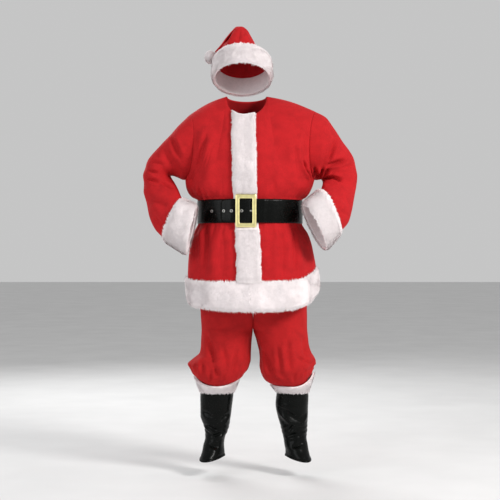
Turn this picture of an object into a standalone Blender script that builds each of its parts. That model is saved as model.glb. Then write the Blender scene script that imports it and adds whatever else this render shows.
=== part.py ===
"""A costume suit of red flannel and white plush, worn and empty: jacket, trousers, hat, belt and boot tops.

Metres, +Z up. The front faces -Y and the wearer's right is at -X. The origin is the middle of the
shoulders, where the wearer carries the jacket. Tables give heights above the floor, and the parts hang
from one empty that brings the shoulders to the origin.
"""

import math

import bpy
import bmesh
import numpy as np

# Driving dimensions
SHOULDER_HEIGHT = 1.48
FLANNEL = 0.0022
VINYL = 0.0016
SEAM_GAP = 0.0004
LAID_ON = 0.0003
PLUSH_PILE = 0.016
PLUSH_BACKING = 0.003
BELT_WIDTH = 0.095
BELT_THICKNESS = 0.0024
BELT_HEIGHT = 1.073
BUCKLE_WIDTH = 0.083
BUCKLE_HEIGHT = 0.130
BUCKLE_BAR = 0.0165
BUCKLE_DEPTH = 0.005
FRONT_BAND_WIDTH = 0.104
EYELET_RADIUS = 0.0045
POMPOM_RADIUS = 0.026
WAISTBAND_HEIGHT = 0.035

ROOT_NAME = "shoulders_to_origin"

# How finely the solids are sampled
QUARTER_COLUMNS = 9
NECK_COLUMNS = 3
YOKE_ROWS = 8
SLEEVE_STEP = 0.9
RING_SIDES = 18

# Colours: red, green, blue, roughness, metallic
FINISHES = {
    "red_flannel": (0.60, 0.018, 0.022, 0.95, 0.0),
    "white_plush": (0.84, 0.80, 0.80, 0.95, 0.0),
    "black_vinyl": (0.010, 0.011, 0.010, 0.35, 0.0),
    "pale_brass": (0.83, 0.74, 0.33, 0.28, 1.0),
    "nickel": (0.70, 0.70, 0.68, 0.30, 1.0),
}

# The jacket's body below the armholes: height, sideways middle, half width, front and back reach
TORSO_COLUMNS = ("z", "middle", "half_width", "front", "back")
TORSO = (
    (0.64, 0.014, 0.257, 0.232, 0.205),
    (0.80, 0.004, 0.258, 0.222, 0.195),
    (0.90, 0.001, 0.250, 0.210, 0.182),
    (0.98, 0.000, 0.232, 0.193, 0.165),
    (1.022, 0.000, 0.213, 0.184, 0.151),
    (1.073, 0.000, 0.211, 0.183, 0.150),
    (1.124, 0.000, 0.213, 0.184, 0.151),
    (1.137, -0.003, 0.234, 0.189, 0.160),
    (1.154, -0.004, 0.248, 0.193, 0.165),
    (1.178, -0.003, 0.259, 0.196, 0.168),
    (1.205, 0.000, 0.264, 0.195, 0.168),
)
TORSO_SQUARENESS = 0.88
JACKET_ROWS = (0.80, 0.85, 0.90, 0.95, 0.982, 1.003, 1.022, 1.073, 1.124, 1.143, 1.172, 1.205)

# Where the front closes, seen from in front: height, sideways place
FRONT_EDGE = ((0.66, -0.002), (0.90, -0.006), (1.073, -0.016), (1.20, -0.021), (1.46, -0.026))

# The skirt's two levels round the body, by degrees from the front towards the wearer's left
HEM_COLUMNS = ("angle", "seam", "hem")
HEM_LEVELS = (
    (-180, 0.800, 0.685),
    (-125, 0.800, 0.690),
    (-90, 0.811, 0.703),
    (-60, 0.795, 0.683),
    (-30, 0.789, 0.672),
    (0, 0.790, 0.665),
    (30, 0.792, 0.672),
    (60, 0.812, 0.700),
    (90, 0.848, 0.745),
    (125, 0.835, 0.725),
    (180, 0.800, 0.685),
)
HEM_BASE = 0.80
HEM_FALL = 0.13
HEM_SHIFT_ENDS = 1.00

# Centre lines above the armholes: height, reach
FRONT_CENTRE = ((1.205, -0.195), (1.29, -0.183), (1.38, -0.150), (1.455, -0.104))
BACK_CENTRE = ((1.205, 0.168), (1.33, 0.165), (1.45, 0.130), (1.535, 0.072))
NECK_CENTRE_X = -0.014
NECK_HALF_WIDTH = 0.082
NECK_SIDE_HEIGHT = 1.548

# Armholes, by side: shoulder point and armpit, seen from in front
ARMHOLES = {
    -1: {"shoulder_x": -0.250, "shoulder_z": 1.470, "armpit_x": -0.264, "armpit_z": 1.205},
    1: {"shoulder_x": 0.272, "shoulder_z": 1.483, "armpit_x": 0.264, "armpit_z": 1.205},
}
ARMHOLE_FRONT = 0.118
ARMHOLE_BACK = 0.112
ARMHOLE_INSET = 0.030

# Sleeve rings: upper edge and under edge seen from in front, centre, front-to-back half depth, and how
# far the ring's front leans back up the sleeve
SLEEVE_COLUMNS = ("upper_x", "upper_z", "under_x", "under_z", "centre_y", "depth", "lean")
SLEEVES = {
    -1: (
        (-0.286, 1.433, -0.276, 1.206, 0.000, 0.112, 0.00),
        (-0.318, 1.398, -0.290, 1.212, 0.004, 0.104, 0.00),
        (-0.360, 1.355, -0.303, 1.218, 0.008, 0.098, 0.00),
        (-0.400, 1.311, -0.314, 1.222, 0.010, 0.092, 0.00),
        (-0.430, 1.268, -0.322, 1.224, 0.010, 0.088, 0.00),
        (-0.446, 1.216, -0.326, 1.221, 0.006, 0.085, 0.00),
        (-0.438, 1.163, -0.320, 1.210, -0.008, 0.083, 0.00),
        (-0.422, 1.112, -0.308, 1.193, -0.030, 0.081, 0.00),
        (-0.408, 1.054, -0.295, 1.172, -0.056, 0.079, 0.06),
        (-0.380, 1.000, -0.284, 1.148, -0.082, 0.077, 0.13),
        (-0.342, 0.962, -0.275, 1.120, -0.106, 0.074, 0.16),
    ),
    1: (
        (0.310, 1.461, 0.274, 1.205, 0.000, 0.112, 0.00),
        (0.342, 1.420, 0.280, 1.206, 0.004, 0.104, 0.00),
        (0.380, 1.363, 0.285, 1.207, 0.008, 0.098, 0.00),
        (0.411, 1.320, 0.289, 1.208, 0.010, 0.093, 0.00),
        (0.433, 1.276, 0.292, 1.208, 0.010, 0.089, 0.00),
        (0.441, 1.226, 0.294, 1.206, 0.006, 0.086, 0.00),
        (0.434, 1.176, 0.295, 1.202, -0.010, 0.084, 0.00),
        (0.424, 1.128, 0.295, 1.196, -0.034, 0.082, 0.00),
        (0.412, 1.080, 0.294, 1.188, -0.060, 0.080, 0.06),
        (0.396, 1.032, 0.291, 1.176, -0.086, 0.078, 0.13),
        (0.358, 0.989, 0.286, 1.158, -0.108, 0.075, 0.16),
    ),
}
SLEEVE_SQUARENESS = 0.92

# Cuffs: the cloth ring at the hand, in the sleeve's columns, and the share of the cuff left to the seam
CUFF_START = 0.011
CUFFS = {
    -1: (-0.250, 0.905, -0.212, 1.090, -0.158, 0.070, 0.04),
    1: (0.299, 0.922, 0.213, 1.098, -0.147, 0.081, 0.16),
}

# Trousers: height, both edges of each leg seen from in front, half depth, and the crease at the mouth
LEG_COLUMNS = ("z", "outer", "inner", "centre_y", "depth")
LEGS = {
    -1: (
        (0.352, -0.196, -0.072, 0.000, 0.058),
        (0.372, -0.199, -0.067, 0.000, 0.068),
        (0.388, -0.228, -0.031, -0.005, 0.089),
        (0.406, -0.238, -0.020, -0.006, 0.103),
        (0.425, -0.247, -0.009, -0.008, 0.112),
        (0.447, -0.256, -0.002, -0.008, 0.116),
        (0.468, -0.240, 0.003, -0.008, 0.114),
        (0.500, -0.206, 0.004, -0.006, 0.108),
        (0.545, -0.200, 0.007, -0.004, 0.106),
        (0.590, -0.199, 0.0118, -0.002, 0.110),
    ),
    1: (
        (0.352, 0.234, 0.115, 0.000, 0.056),
        (0.374, 0.244, 0.104, 0.000, 0.066),
        (0.3825, 0.250, 0.086, -0.003, 0.079),
        (0.3915, 0.257, 0.068, -0.005, 0.089),
        (0.406, 0.260, 0.055, -0.006, 0.103),
        (0.425, 0.260, 0.045, -0.008, 0.112),
        (0.447, 0.269, 0.040, -0.008, 0.116),
        (0.468, 0.268, 0.040, -0.008, 0.114),
        (0.500, 0.250, 0.038, -0.006, 0.108),
        (0.545, 0.237, 0.026, -0.004, 0.106),
        (0.590, 0.234, 0.0128, -0.002, 0.110),
    ),
}
CROTCH_X = 0.0123
# The seat above the crotch: height, half width, front and back reach
SEAT_COLUMNS = ("z", "right", "left", "front", "back")
SEAT = (
    (0.590, -0.199, 0.234, 0.112, 0.108),
    (0.625, -0.200, 0.234, 0.122, 0.124),
    (0.680, -0.203, 0.234, 0.132, 0.138),
    (0.780, -0.207, 0.226, 0.140, 0.142),
    (0.900, -0.198, 0.208, 0.146, 0.136),
    (0.985, -0.199, 0.203, 0.160, 0.138),
)

# Boot tops: height of the ring's middle, both edges seen from in front, centre, depth front and back,
# and how far the front drops below the middle
BOOT_COLUMNS = ("z", "outer", "inner", "centre_y", "front", "back", "drop")
BOOTS = {
    -1: (
        (0.342, -0.203, -0.067, 0.000, 0.066, 0.064, 0.000),
        (0.290, -0.204, -0.072, 0.001, 0.064, 0.064, 0.000),
        (0.240, -0.203, -0.079, 0.003, 0.060, 0.063, 0.000),
        (0.205, -0.192, -0.084, 0.005, 0.056, 0.058, 0.002),
        (0.180, -0.186, -0.090, 0.006, 0.053, 0.052, 0.004),
        (0.150, -0.184, -0.102, 0.004, 0.052, 0.046, 0.006),
        (0.122, -0.190, -0.106, -0.002, 0.062, 0.046, 0.010),
        (0.096, -0.192, -0.104, -0.006, 0.082, 0.048, 0.012),
        (0.078, -0.194, -0.102, -0.010, 0.096, 0.052, 0.014),
    ),
    1: (
        (0.342, 0.239, 0.110, 0.000, 0.064, 0.062, 0.000),
        (0.290, 0.238, 0.104, 0.001, 0.064, 0.064, 0.000),
        (0.240, 0.237, 0.114, 0.003, 0.060, 0.063, 0.000),
        (0.205, 0.236, 0.124, 0.005, 0.057, 0.058, 0.002),
        (0.180, 0.235, 0.129, 0.006, 0.054, 0.052, 0.004),
        (0.150, 0.232, 0.136, 0.004, 0.052, 0.046, 0.006),
        (0.122, 0.236, 0.140, -0.002, 0.062, 0.046, 0.010),
        (0.096, 0.237, 0.145, -0.006, 0.082, 0.048, 0.012),
        (0.078, 0.239, 0.143, -0.010, 0.096, 0.052, 0.014),
    ),
}
TOE_OUT = math.radians(24)
TOE_OUT_STARTS = 0.17

# How high the plush stands over each boot top: at its inner side, front, outer side and back
BOOT_RIM = {-1: (0.054, 0.026, 0.058, 0.040), 1: (0.025, 0.024, 0.074, 0.042)}
RIM_LEVEL = 0.036
RIM_ROUNDNESS = 1.5
# How far the trouser leg follows that rim: height, share
RIM_FOLLOWED = ((0.352, 0.9), (0.372, 1.0), (0.392, 1.0), (0.406, 0.75), (0.425, 0.45), (0.447, 0.2), (0.468, 0.0))

# Boot-top plush: height at the rim's level, inner half widths, pile thickness
BOOT_CUFF_COLUMNS = ("rise", "spread", "pile")
BOOT_CUFF = ((0.0, 0.000, 0.004), (0.010, 0.003, 0.010), (0.024, 0.009, 0.013), (0.036, 0.019, 0.008))

# Hat: band ring and crown
HAT_CENTRE = (-0.032, 0.004, 1.655)
HAT_TILT = math.radians(27)
HAT_HALF_WIDTH = 0.113
HAT_HALF_DEPTH = 0.116
HAT_BAND_HEIGHT = 0.084
HAT_PILE = 0.020
CROWN_COLUMNS = ("right_x", "right_z", "left_x", "left_z", "centre_y", "depth")
CROWN = (
    (0.029, 1.755, -0.120, 1.742, 0.040, 0.106),
    (0.013, 1.784, -0.107, 1.768, 0.042, 0.092),
    (0.001, 1.807, -0.094, 1.785, 0.043, 0.077),
    (-0.012, 1.826, -0.085, 1.796, 0.043, 0.062),
    (-0.034, 1.841, -0.079, 1.801, 0.044, 0.050),
    (-0.053, 1.842, -0.079, 1.801, 0.046, 0.042),
    (-0.073, 1.826, -0.086, 1.794, 0.050, 0.036),
    (-0.097, 1.799, -0.100, 1.775, 0.055, 0.030),
    (-0.121, 1.769, -0.116, 1.751, 0.060, 0.022),
    (-0.146, 1.742, -0.138, 1.732, 0.064, 0.0075),
)

# Folds of the body: degrees from the front at the top and at the foot, heights, width, outward height
FOLD_COLUMNS = ("angle_top", "angle_foot", "z_top", "z_foot", "width", "height")
JACKET_FOLDS = (
    (-58, -52, 1.42, 1.14, 9, 0.010),
    (-40, -44, 1.40, 1.13, 7, 0.007),
    (-76, -66, 1.30, 1.14, 8, 0.008),
    (52, 60, 1.38, 1.14, 9, 0.008),
    (36, 34, 1.30, 1.14, 8, 0.004),
    (-34, -38, 1.02, 0.62, 6, 0.007),
    (-62, -68, 1.02, 0.62, 8, 0.008),
    (32, 36, 1.02, 0.62, 7, 0.006),
    (48, 56, 1.02, 0.62, 6, 0.006),
    (78, 84, 1.02, 0.62, 8, 0.007),
    (-105, -108, 1.02, 0.62, 9, 0.008),
    (-140, -144, 1.02, 0.62, 9, 0.009),
    (176, 178, 1.02, 0.62, 10, 0.009),
    (140, 146, 1.02, 0.62, 9, 0.008),
    (108, 112, 1.02, 0.62, 9, 0.008),
    (-150, -140, 1.38, 1.14, 10, 0.007),
    (150, 142, 1.38, 1.14, 10, 0.007),
    (180, 180, 1.34, 1.14, 9, 0.006),
)
# Sleeve creases: place along the rings, angle round the ring, length and width in the same measures, depth
CREASE_COLUMNS = ("along", "around", "length", "width", "height", "slant")
SLEEVE_CREASES = {
    -1: (
        (4.2, 150, 60, 0.45, -0.009, 0.3),
        (5.4, 160, 75, 0.45, -0.010, -0.2),
        (6.8, 120, 55, 0.5, -0.006, 0.4),
        (1.6, 80, 60, 0.7, -0.007, 0.8),
        (5.0, 230, 70, 0.5, -0.008, 0.2),
        (7.4, 240, 60, 0.6, -0.006, -0.3),
    ),
    1: (
        (4.4, 130, 60, 0.45, -0.009, -0.3),
        (5.9, 110, 55, 0.45, -0.010, 0.2),
        (3.0, 100, 55, 0.5, -0.007, 0.6),
        (1.4, 60, 45, 0.7, -0.008, 0.8),
        (5.0, 230, 70, 0.5, -0.008, -0.2),
        (7.4, 240, 60, 0.6, -0.006, 0.3),
    ),
}
# Leg folds: degrees round the leg from its front, heights, width, outward height
LEG_FOLD_COLUMNS = ("angle_top", "angle_foot", "z_top", "z_foot", "width", "height")
LEG_FOLDS = {
    -1: (
        (-38, -10, 0.56, 0.40, 10, -0.009),
        (-70, -62, 0.50, 0.41, 9, -0.008),
        (30, 22, 0.62, 0.41, 14, 0.006),
        (74, 60, 0.60, 0.42, 12, -0.007),
        (150, 160, 0.58, 0.40, 14, -0.008),
        (-140, -150, 0.58, 0.40, 14, -0.008),
    ),
    1: (
        (-50, -20, 0.52, 0.40, 10, -0.009),
        (24, 12, 0.62, 0.41, 14, 0.006),
        (64, 50, 0.50, 0.41, 9, -0.008),
        (-78, -66, 0.60, 0.42, 12, -0.007),
        (150, 160, 0.58, 0.40, 14, -0.008),
        (-140, -150, 0.58, 0.40, 14, -0.008),
    ),
}


# Curves through tables

def smooth_slopes(keys, values):
    """Slopes of a curve that never overshoots its points."""
    steps = np.diff(keys)
    rises = np.diff(values) / steps
    slopes = np.zeros(len(keys))
    slopes[0], slopes[-1] = rises[0], rises[-1]
    for i in range(1, len(keys) - 1):
        if rises[i - 1] * rises[i] > 0:
            before, after = 2 * steps[i] + steps[i - 1], steps[i] + 2 * steps[i - 1]
            slopes[i] = (before + after) / (before / rises[i - 1] + after / rises[i])
    return slopes


def curve(keys, values, at):
    """The smooth curve through the points, read at one place or many."""
    keys, values = np.asarray(keys, float), np.asarray(values, float)
    at = np.clip(np.asarray(at, float), keys[0], keys[-1])
    slopes = smooth_slopes(keys, values)
    i = np.clip(np.searchsorted(keys, at, side="right") - 1, 0, len(keys) - 2)
    span = keys[i + 1] - keys[i]
    t = (at - keys[i]) / span
    return (
        (2 * t**3 - 3 * t**2 + 1) * values[i]
        + (t**3 - 2 * t**2 + t) * span * slopes[i]
        + (3 * t**2 - 2 * t**3) * values[i + 1]
        + (t**3 - t**2) * span * slopes[i + 1]
    )


def column(columns, table, name):
    return [row[columns.index(name)] for row in table]


def read(columns, table, key, name, at):
    """A named column of a table, read smoothly at a value of the key column."""
    keys, values = column(columns, table, key), column(columns, table, name)
    if keys[0] > keys[-1]:
        keys, values = keys[::-1], values[::-1]
    return curve(keys, values, at)


def read_row(columns, table, name, at):
    """A named column of a table, read smoothly at a row number."""
    return curve(range(len(table)), column(columns, table, name), at)


def bump(distance, width):
    """A smooth hump: 1 in the middle and 0 at twice the width."""
    near = np.clip(1 - (distance / (2 * width)) ** 2, 0, 1)
    return near**2


def power(value, exponent):
    return np.sign(value) * np.abs(value) ** exponent


def angle_apart(a, b):
    return (a - b + 180) % 360 - 180


# Shapes of cloth

def fold_height(columns, folds, angle, z):
    """How far the folds that run down the cloth stand out at an angle and a height."""
    total = np.zeros(np.broadcast(angle, z).shape)
    for fold in folds:
        part = dict(zip(columns, fold))
        down = np.clip((part["z_top"] - z) / (part["z_top"] - part["z_foot"]), 0, 1)
        middle = part["angle_top"] + (part["angle_foot"] - part["angle_top"]) * down
        fade = np.clip((part["z_top"] - z) / 0.05, 0, 1) * np.clip((z - part["z_foot"]) / 0.03, 0, 1)
        total += part["height"] * bump(angle_apart(angle, middle), part["width"]) * fade
    return total


def crease_depth(creases, along, around):
    """How far the sleeve's creases sink at a place along it and an angle round it."""
    total = np.zeros(np.broadcast(along, around).shape)
    for crease in creases:
        part = dict(zip(CREASE_COLUMNS, crease))
        across = angle_apart(around, part["around"]) / part["length"]
        middle = part["along"] + part["slant"] * across
        total += part["height"] * bump(along - middle, part["width"]) * bump(across, 0.6)
    return total


def hem_level(name, angle):
    turned = (np.asarray(angle, float) + 180) % 360 - 180
    return read(HEM_COLUMNS, HEM_LEVELS, "angle", name, turned)


def skirt_height(base, angle):
    """The true height of a row of the body: level at the belt, and along the hem's seam at the skirt."""
    share = np.clip((HEM_SHIFT_ENDS - base) / (HEM_SHIFT_ENDS - HEM_BASE), 0, 1)
    return base + (hem_level("seam", angle) - HEM_BASE) * share


def torso_point(angle, z):
    """A point of the jacket's body below the armholes, by degrees from the front and height."""
    turn = np.radians(angle)
    half_width = read(TORSO_COLUMNS, TORSO, "z", "half_width", z)
    front = read(TORSO_COLUMNS, TORSO, "z", "front", z)
    back = read(TORSO_COLUMNS, TORSO, "z", "back", z)
    x = read(TORSO_COLUMNS, TORSO, "z", "middle", z) + half_width * power(np.sin(turn), TORSO_SQUARENESS)
    reach = power(np.cos(turn), TORSO_SQUARENESS)
    y = np.where(reach > 0, -front * reach, -back * reach)
    return np.stack(np.broadcast_arrays(x, y, z), axis=-1)


def centre_angle(z):
    """Degrees from the front at which the front closes at a height."""
    keys, places = zip(*FRONT_EDGE)
    half_width = read(TORSO_COLUMNS, TORSO, "z", "half_width", z)
    share = (curve(keys, places, z) - read(TORSO_COLUMNS, TORSO, "z", "middle", z)) / half_width
    return np.degrees(np.arcsin(power(share, 1 / TORSO_SQUARENESS)))


def armhole_point(side, face, t):
    """A point of the armhole: t runs from 0 at the armpit to 1 at the shoulder, by the front or the back."""
    hole = ARMHOLES[side]
    turn = math.pi * t
    rise = (1 - np.cos(turn)) / 2
    inset = -side * ARMHOLE_INSET * np.sin(turn)
    depth = ARMHOLE_FRONT if face < 0 else ARMHOLE_BACK
    x = hole["armpit_x"] + (hole["shoulder_x"] - hole["armpit_x"]) * rise + inset
    y = face * depth * power(np.sin(turn), 0.85)
    z = hole["armpit_z"] + (hole["shoulder_z"] - hole["armpit_z"]) * rise
    return np.stack(np.broadcast_arrays(x, y, z), axis=-1)


def top_edge(side, face, u):
    """The top of a quarter of the body: the neckline from the centre, then the shoulder seam."""
    u = np.asarray(u, float)
    split = NECK_COLUMNS / QUARTER_COLUMNS
    height, reach = (FRONT_CENTRE if face < 0 else BACK_CENTRE)[-1]
    centre = np.array((curve(*zip(*FRONT_EDGE), height) if face < 0 else NECK_CENTRE_X, reach, height))
    neck_side = np.array((NECK_CENTRE_X + side * NECK_HALF_WIDTH, 0.0, NECK_SIDE_HEIGHT))
    shoulder = armhole_point(side, face, 1.0)
    turn = np.clip(u / split, 0, 1) * math.pi / 2
    round_neck = np.stack(
        (
            centre[0] + (neck_side[0] - centre[0]) * np.sin(turn),
            neck_side[1] + (centre[1] - neck_side[1]) * np.cos(turn),
            neck_side[2] + (centre[2] - neck_side[2]) * np.cos(turn),
        ),
        axis=-1,
    )
    along = np.clip((u - split) / (1 - split), 0, 1)[..., None]
    seam = neck_side + (shoulder - neck_side) * along
    seam[..., 2] += 0.010 * np.sin(math.pi * along[..., 0])
    return np.where(along > 0, seam, round_neck)


def quarter_body(side, face):
    """Points of one front, or of half the back, from the hem's seam to the top and from the centre out."""
    u = np.linspace(0, 1, QUARTER_COLUMNS + 1)
    rows = []
    for base in JACKET_ROWS:
        middle = centre_angle(base) if face < 0 else 180 * side
        angle = middle + (90 * side - middle) * u
        rows.append(torso_point(angle, base))
        rows[-1][:, 2] = skirt_height(base, angle)
    bottom = rows[-1]
    top = top_edge(side, face, u)
    keys, reaches = zip(*(FRONT_CENTRE if face < 0 else BACK_CENTRE))
    for w in np.linspace(0, 1, YOKE_ROWS + 1)[1:]:
        z = keys[0] + (keys[-1] - keys[0]) * w
        middle_x = curve(*zip(*FRONT_EDGE), z) if face < 0 else NECK_CENTRE_X * w
        inner = np.array((middle_x, curve(keys, reaches, z), z))
        outer = armhole_point(side, face, w)
        across = u[:, None]
        ruled = bottom * (1 - w) + top * w + inner * (1 - across) + outer * across
        corners = (
            bottom[0] * (1 - w) * (1 - across)
            + bottom[-1] * (1 - w) * across
            + top[0] * w * (1 - across)
            + top[-1] * w * across
        )
        rows.append(ruled - corners)
    return np.array(rows)


def ring_points(upper, under, centre_y, depth, sides, squareness=1.0, lean=0.0):
    """A closed ring seen from in front as the line from its under edge to its upper edge.

    With a lean, the ring's front stands that share of its depth to one side of the line.
    """
    upper, under = np.asarray(upper, float), np.asarray(under, float)
    turn = np.linspace(0, 2 * math.pi, sides, endpoint=False)
    middle, half = (upper + under) / 2, (upper - under) / 2
    reach = -power(np.cos(turn), squareness)
    forward = depth * power(np.sin(turn), squareness)
    aside = np.array((-half[1], half[0])) / np.linalg.norm(half) * lean
    x = middle[0] + half[0] * reach + aside[0] * forward
    z = middle[1] + half[1] * reach + aside[1] * forward
    return np.stack((x, centre_y - forward, z), axis=-1)


def sleeve_rings(side):
    """Rings of a sleeve from the armhole to the cuff; round each, the under edge comes first."""
    table = SLEEVES[side]
    steps = np.linspace(0, 1, YOKE_ROWS + 1)
    front = armhole_point(side, -1, steps)
    back = armhole_point(side, 1, steps)[::-1]
    rings = [np.concatenate((front, back[1:-1]))]
    sides = len(rings[0])
    places = np.linspace(0, len(table) - 1, round((len(table) - 1) / SLEEVE_STEP) + 1)
    for place in places:
        values = {name: read_row(SLEEVE_COLUMNS, table, name, place) for name in SLEEVE_COLUMNS}
        ring = ring_points(
            (values["upper_x"], values["upper_z"]),
            (values["under_x"], values["under_z"]),
            values["centre_y"],
            values["depth"],
            sides,
            SLEEVE_SQUARENESS,
            side * values["lean"],
        )
        rings.append(ring)
    around = np.degrees(np.linspace(0, 2 * math.pi, sides, endpoint=False))
    sink = np.array([crease_depth(SLEEVE_CREASES[side], place, around) for place in places])
    return np.array(rings), np.concatenate((np.zeros((1, sides)), sink))


# Walls

def grid_normals(points, wrap):
    """Unit normals of a grid of points, pointing to the left of its rows' direction of travel."""
    before = np.roll(points, 1, axis=1) if wrap else np.concatenate((points[:, :1], points[:, :-1]), axis=1)
    after = np.roll(points, -1, axis=1) if wrap else np.concatenate((points[:, 1:], points[:, -1:]), axis=1)
    across = after - before
    below = np.concatenate((points[:1], points[:-1]))
    above = np.concatenate((points[1:], points[-1:]))
    normals = np.cross(across, above - below)
    return normals / np.maximum(np.linalg.norm(normals, axis=-1, keepdims=True), 1e-12)


def share_normals(grids, normals):
    """Gives points that panels have in common one normal, so that their edges meet squarely."""
    sums = {}
    for grid, normal in zip(grids, normals):
        for point, direction in zip(grid.reshape(-1, 3), normal.reshape(-1, 3)):
            key = tuple(np.round(point, 6))
            sums[key] = sums.get(key, 0) + direction
    shared = []
    for grid, normal in zip(grids, normals):
        flat = np.array([sums[tuple(np.round(point, 6))] for point in grid.reshape(-1, 3)])
        flat /= np.linalg.norm(flat, axis=-1, keepdims=True)
        shared.append(flat.reshape(normal.shape))
    return shared


def pull_back(points, edge, distance):
    """Draws one edge row of a grid towards its next row."""
    points = points.copy()
    here, inner = {"first": (0, 1), "last": (-1, -2)}[edge]
    toward = points[inner] - points[here]
    points[here] += toward / np.linalg.norm(toward, axis=-1, keepdims=True) * distance
    return points


def pull_back_all(points, wrap, edges):
    """Draws the named edges of a grid in by half the seam's gap."""
    half_gap = SEAM_GAP / 2
    if "bottom" in edges:
        points = pull_back(points, "first", half_gap)
    if "top" in edges:
        points = pull_back(points, "last", half_gap)
    if not wrap:
        turned = points.transpose(1, 0, 2)
        if "start" in edges:
            turned = pull_back(turned, "first", half_gap)
        if "end" in edges:
            turned = pull_back(turned, "last", half_gap)
        points = turned.transpose(1, 0, 2)
    return points


def add_object(name, mesh, finish):
    material = bpy.data.materials.get(finish) or make_material(finish)
    mesh.materials.append(material)
    piece = bpy.data.objects.new(name, mesh)
    parts_collection().objects.link(piece)
    piece.parent = bpy.data.objects[ROOT_NAME]
    return piece


def wall(name, outer, inner, finish, wrap=False):
    """A closed wall between an outer and an inner grid; a wrapped grid closes round into a tube."""
    rows, columns = outer.shape[:2]
    form = bmesh.new()
    skins = [[[form.verts.new(point) for point in row] for row in skin] for skin in (outer, inner)]
    spans = columns if wrap else columns - 1

    def quad(corners):
        form.faces.new(corners)

    for i in range(rows - 1):
        for j in range(spans):
            k = (j + 1) % columns
            quad([skins[0][i][j], skins[0][i][k], skins[0][i + 1][k], skins[0][i + 1][j]])
            quad([skins[1][i][j], skins[1][i + 1][j], skins[1][i + 1][k], skins[1][i][k]])
    for j in range(spans):
        k = (j + 1) % columns
        quad([skins[0][0][j], skins[1][0][j], skins[1][0][k], skins[0][0][k]])
        quad([skins[0][-1][j], skins[0][-1][k], skins[1][-1][k], skins[1][-1][j]])
    if not wrap:
        for i in range(rows - 1):
            quad([skins[0][i][0], skins[0][i + 1][0], skins[1][i + 1][0], skins[1][i][0]])
            quad([skins[0][i][-1], skins[1][i][-1], skins[1][i + 1][-1], skins[0][i + 1][-1]])
    bmesh.ops.recalc_face_normals(form, faces=form.faces)
    bmesh.ops.triangulate(form, faces=form.faces)
    mesh = bpy.data.meshes.new(name)
    form.to_mesh(mesh)
    form.free()
    mesh.shade_smooth()
    return add_object(name, mesh, finish)


def ball_from_rings(name, rings, finish):
    """A closed solid through rings, with flat caps over its first and last ring."""
    form = bmesh.new()
    loops = [[form.verts.new(point) for point in ring] for ring in rings]
    sides = len(loops[0])
    for low, high in zip(loops, loops[1:]):
        for j in range(sides):
            k = (j + 1) % sides
            form.faces.new([low[j], low[k], high[k], high[j]])
    form.faces.new(loops[0][::-1])
    form.faces.new(loops[-1])
    bmesh.ops.recalc_face_normals(form, faces=form.faces)
    bmesh.ops.triangulate(form, faces=form.faces)
    mesh = bpy.data.meshes.new(name)
    form.to_mesh(mesh)
    form.free()
    mesh.shade_smooth()
    return add_object(name, mesh, finish)


def hoop(name, sections, finish):
    """A closed ring of sections, each a loop of points, such as a buckle's frame."""
    form = bmesh.new()
    loops = [[form.verts.new(point) for point in section] for section in sections]
    for i, low in enumerate(loops):
        high = loops[(i + 1) % len(loops)]
        for j in range(len(low)):
            k = (j + 1) % len(low)
            form.faces.new([low[j], low[k], high[k], high[j]])
    bmesh.ops.recalc_face_normals(form, faces=form.faces)
    mesh = bpy.data.meshes.new(name)
    form.to_mesh(mesh)
    form.free()
    return add_object(name, mesh, finish)


# Plush

PILE_PLACES = (0.0, 0.10, 0.32, 0.68, 0.90, 1.0)
PILE_SHARES = (0.20, 0.78, 1.0, 1.0, 0.78, 0.20)
EDGE_LEANS = (1.0, 0.85, 0.3)


def pile_share(place):
    """How much of its full pile plush has across a band, from edge to edge."""
    return curve(PILE_PLACES, PILE_SHARES, place)


def lumps(first, second):
    """Uneven tufts: a gentle factor near 1."""
    return 1 + 0.10 * np.sin(first * 2.3 + second * 1.1) + 0.07 * np.sin(first * 5.1 - second * 2.7)


def plush_wall(name, base, normals, pile, wrap, edges):
    """Plush that carries on from cloth: flush with it inside and standing proud of it outside.

    Near its edges the pile leans with the edge, so that it never leans over the seam.
    """
    lean = np.array(EDGE_LEANS)[:, None, None]
    half = len(base) // 2
    normals = np.concatenate(
        (
            normals[:half] * (1 - lean) + normals[:1] * lean,
            normals[half:] * (1 - lean[::-1]) + normals[-1:] * lean[::-1],
        )
    )
    normals /= np.linalg.norm(normals, axis=-1, keepdims=True)
    base = pull_back_all(base, wrap, edges)
    outer = base + normals * (PLUSH_BACKING + pile)[..., None]
    return wall(name, outer, base - normals * FLANNEL, "white_plush", wrap)


# The scene

def clear_scene():
    for item in list(bpy.data.objects):
        bpy.data.objects.remove(item, do_unlink=True)


def parts_collection():
    collection = bpy.data.collections.get("santa_suit")
    if collection is None:
        collection = bpy.data.collections.new("santa_suit")
        bpy.context.scene.collection.children.link(collection)
    return collection


def make_root():
    root = bpy.data.objects.new(ROOT_NAME, None)
    root.location = (0.0, 0.0, -SHOULDER_HEIGHT)
    parts_collection().objects.link(root)


def make_material(finish):
    red, green, blue, roughness, metallic = FINISHES[finish]
    material = bpy.data.materials.new(finish)
    material.use_nodes = True
    shader = material.node_tree.nodes["Principled BSDF"]
    shader.inputs["Base Color"].default_value = (red, green, blue, 1.0)
    shader.inputs["Roughness"].default_value = roughness
    shader.inputs["Metallic"].default_value = metallic
    return material


# Jacket

def jacket_fold(points, armhole_fade):
    angle = np.degrees(np.arctan2(points[..., 0], -points[..., 1]))
    return fold_height(FOLD_COLUMNS, JACKET_FOLDS, angle, points[..., 2]) * armhole_fade


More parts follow.
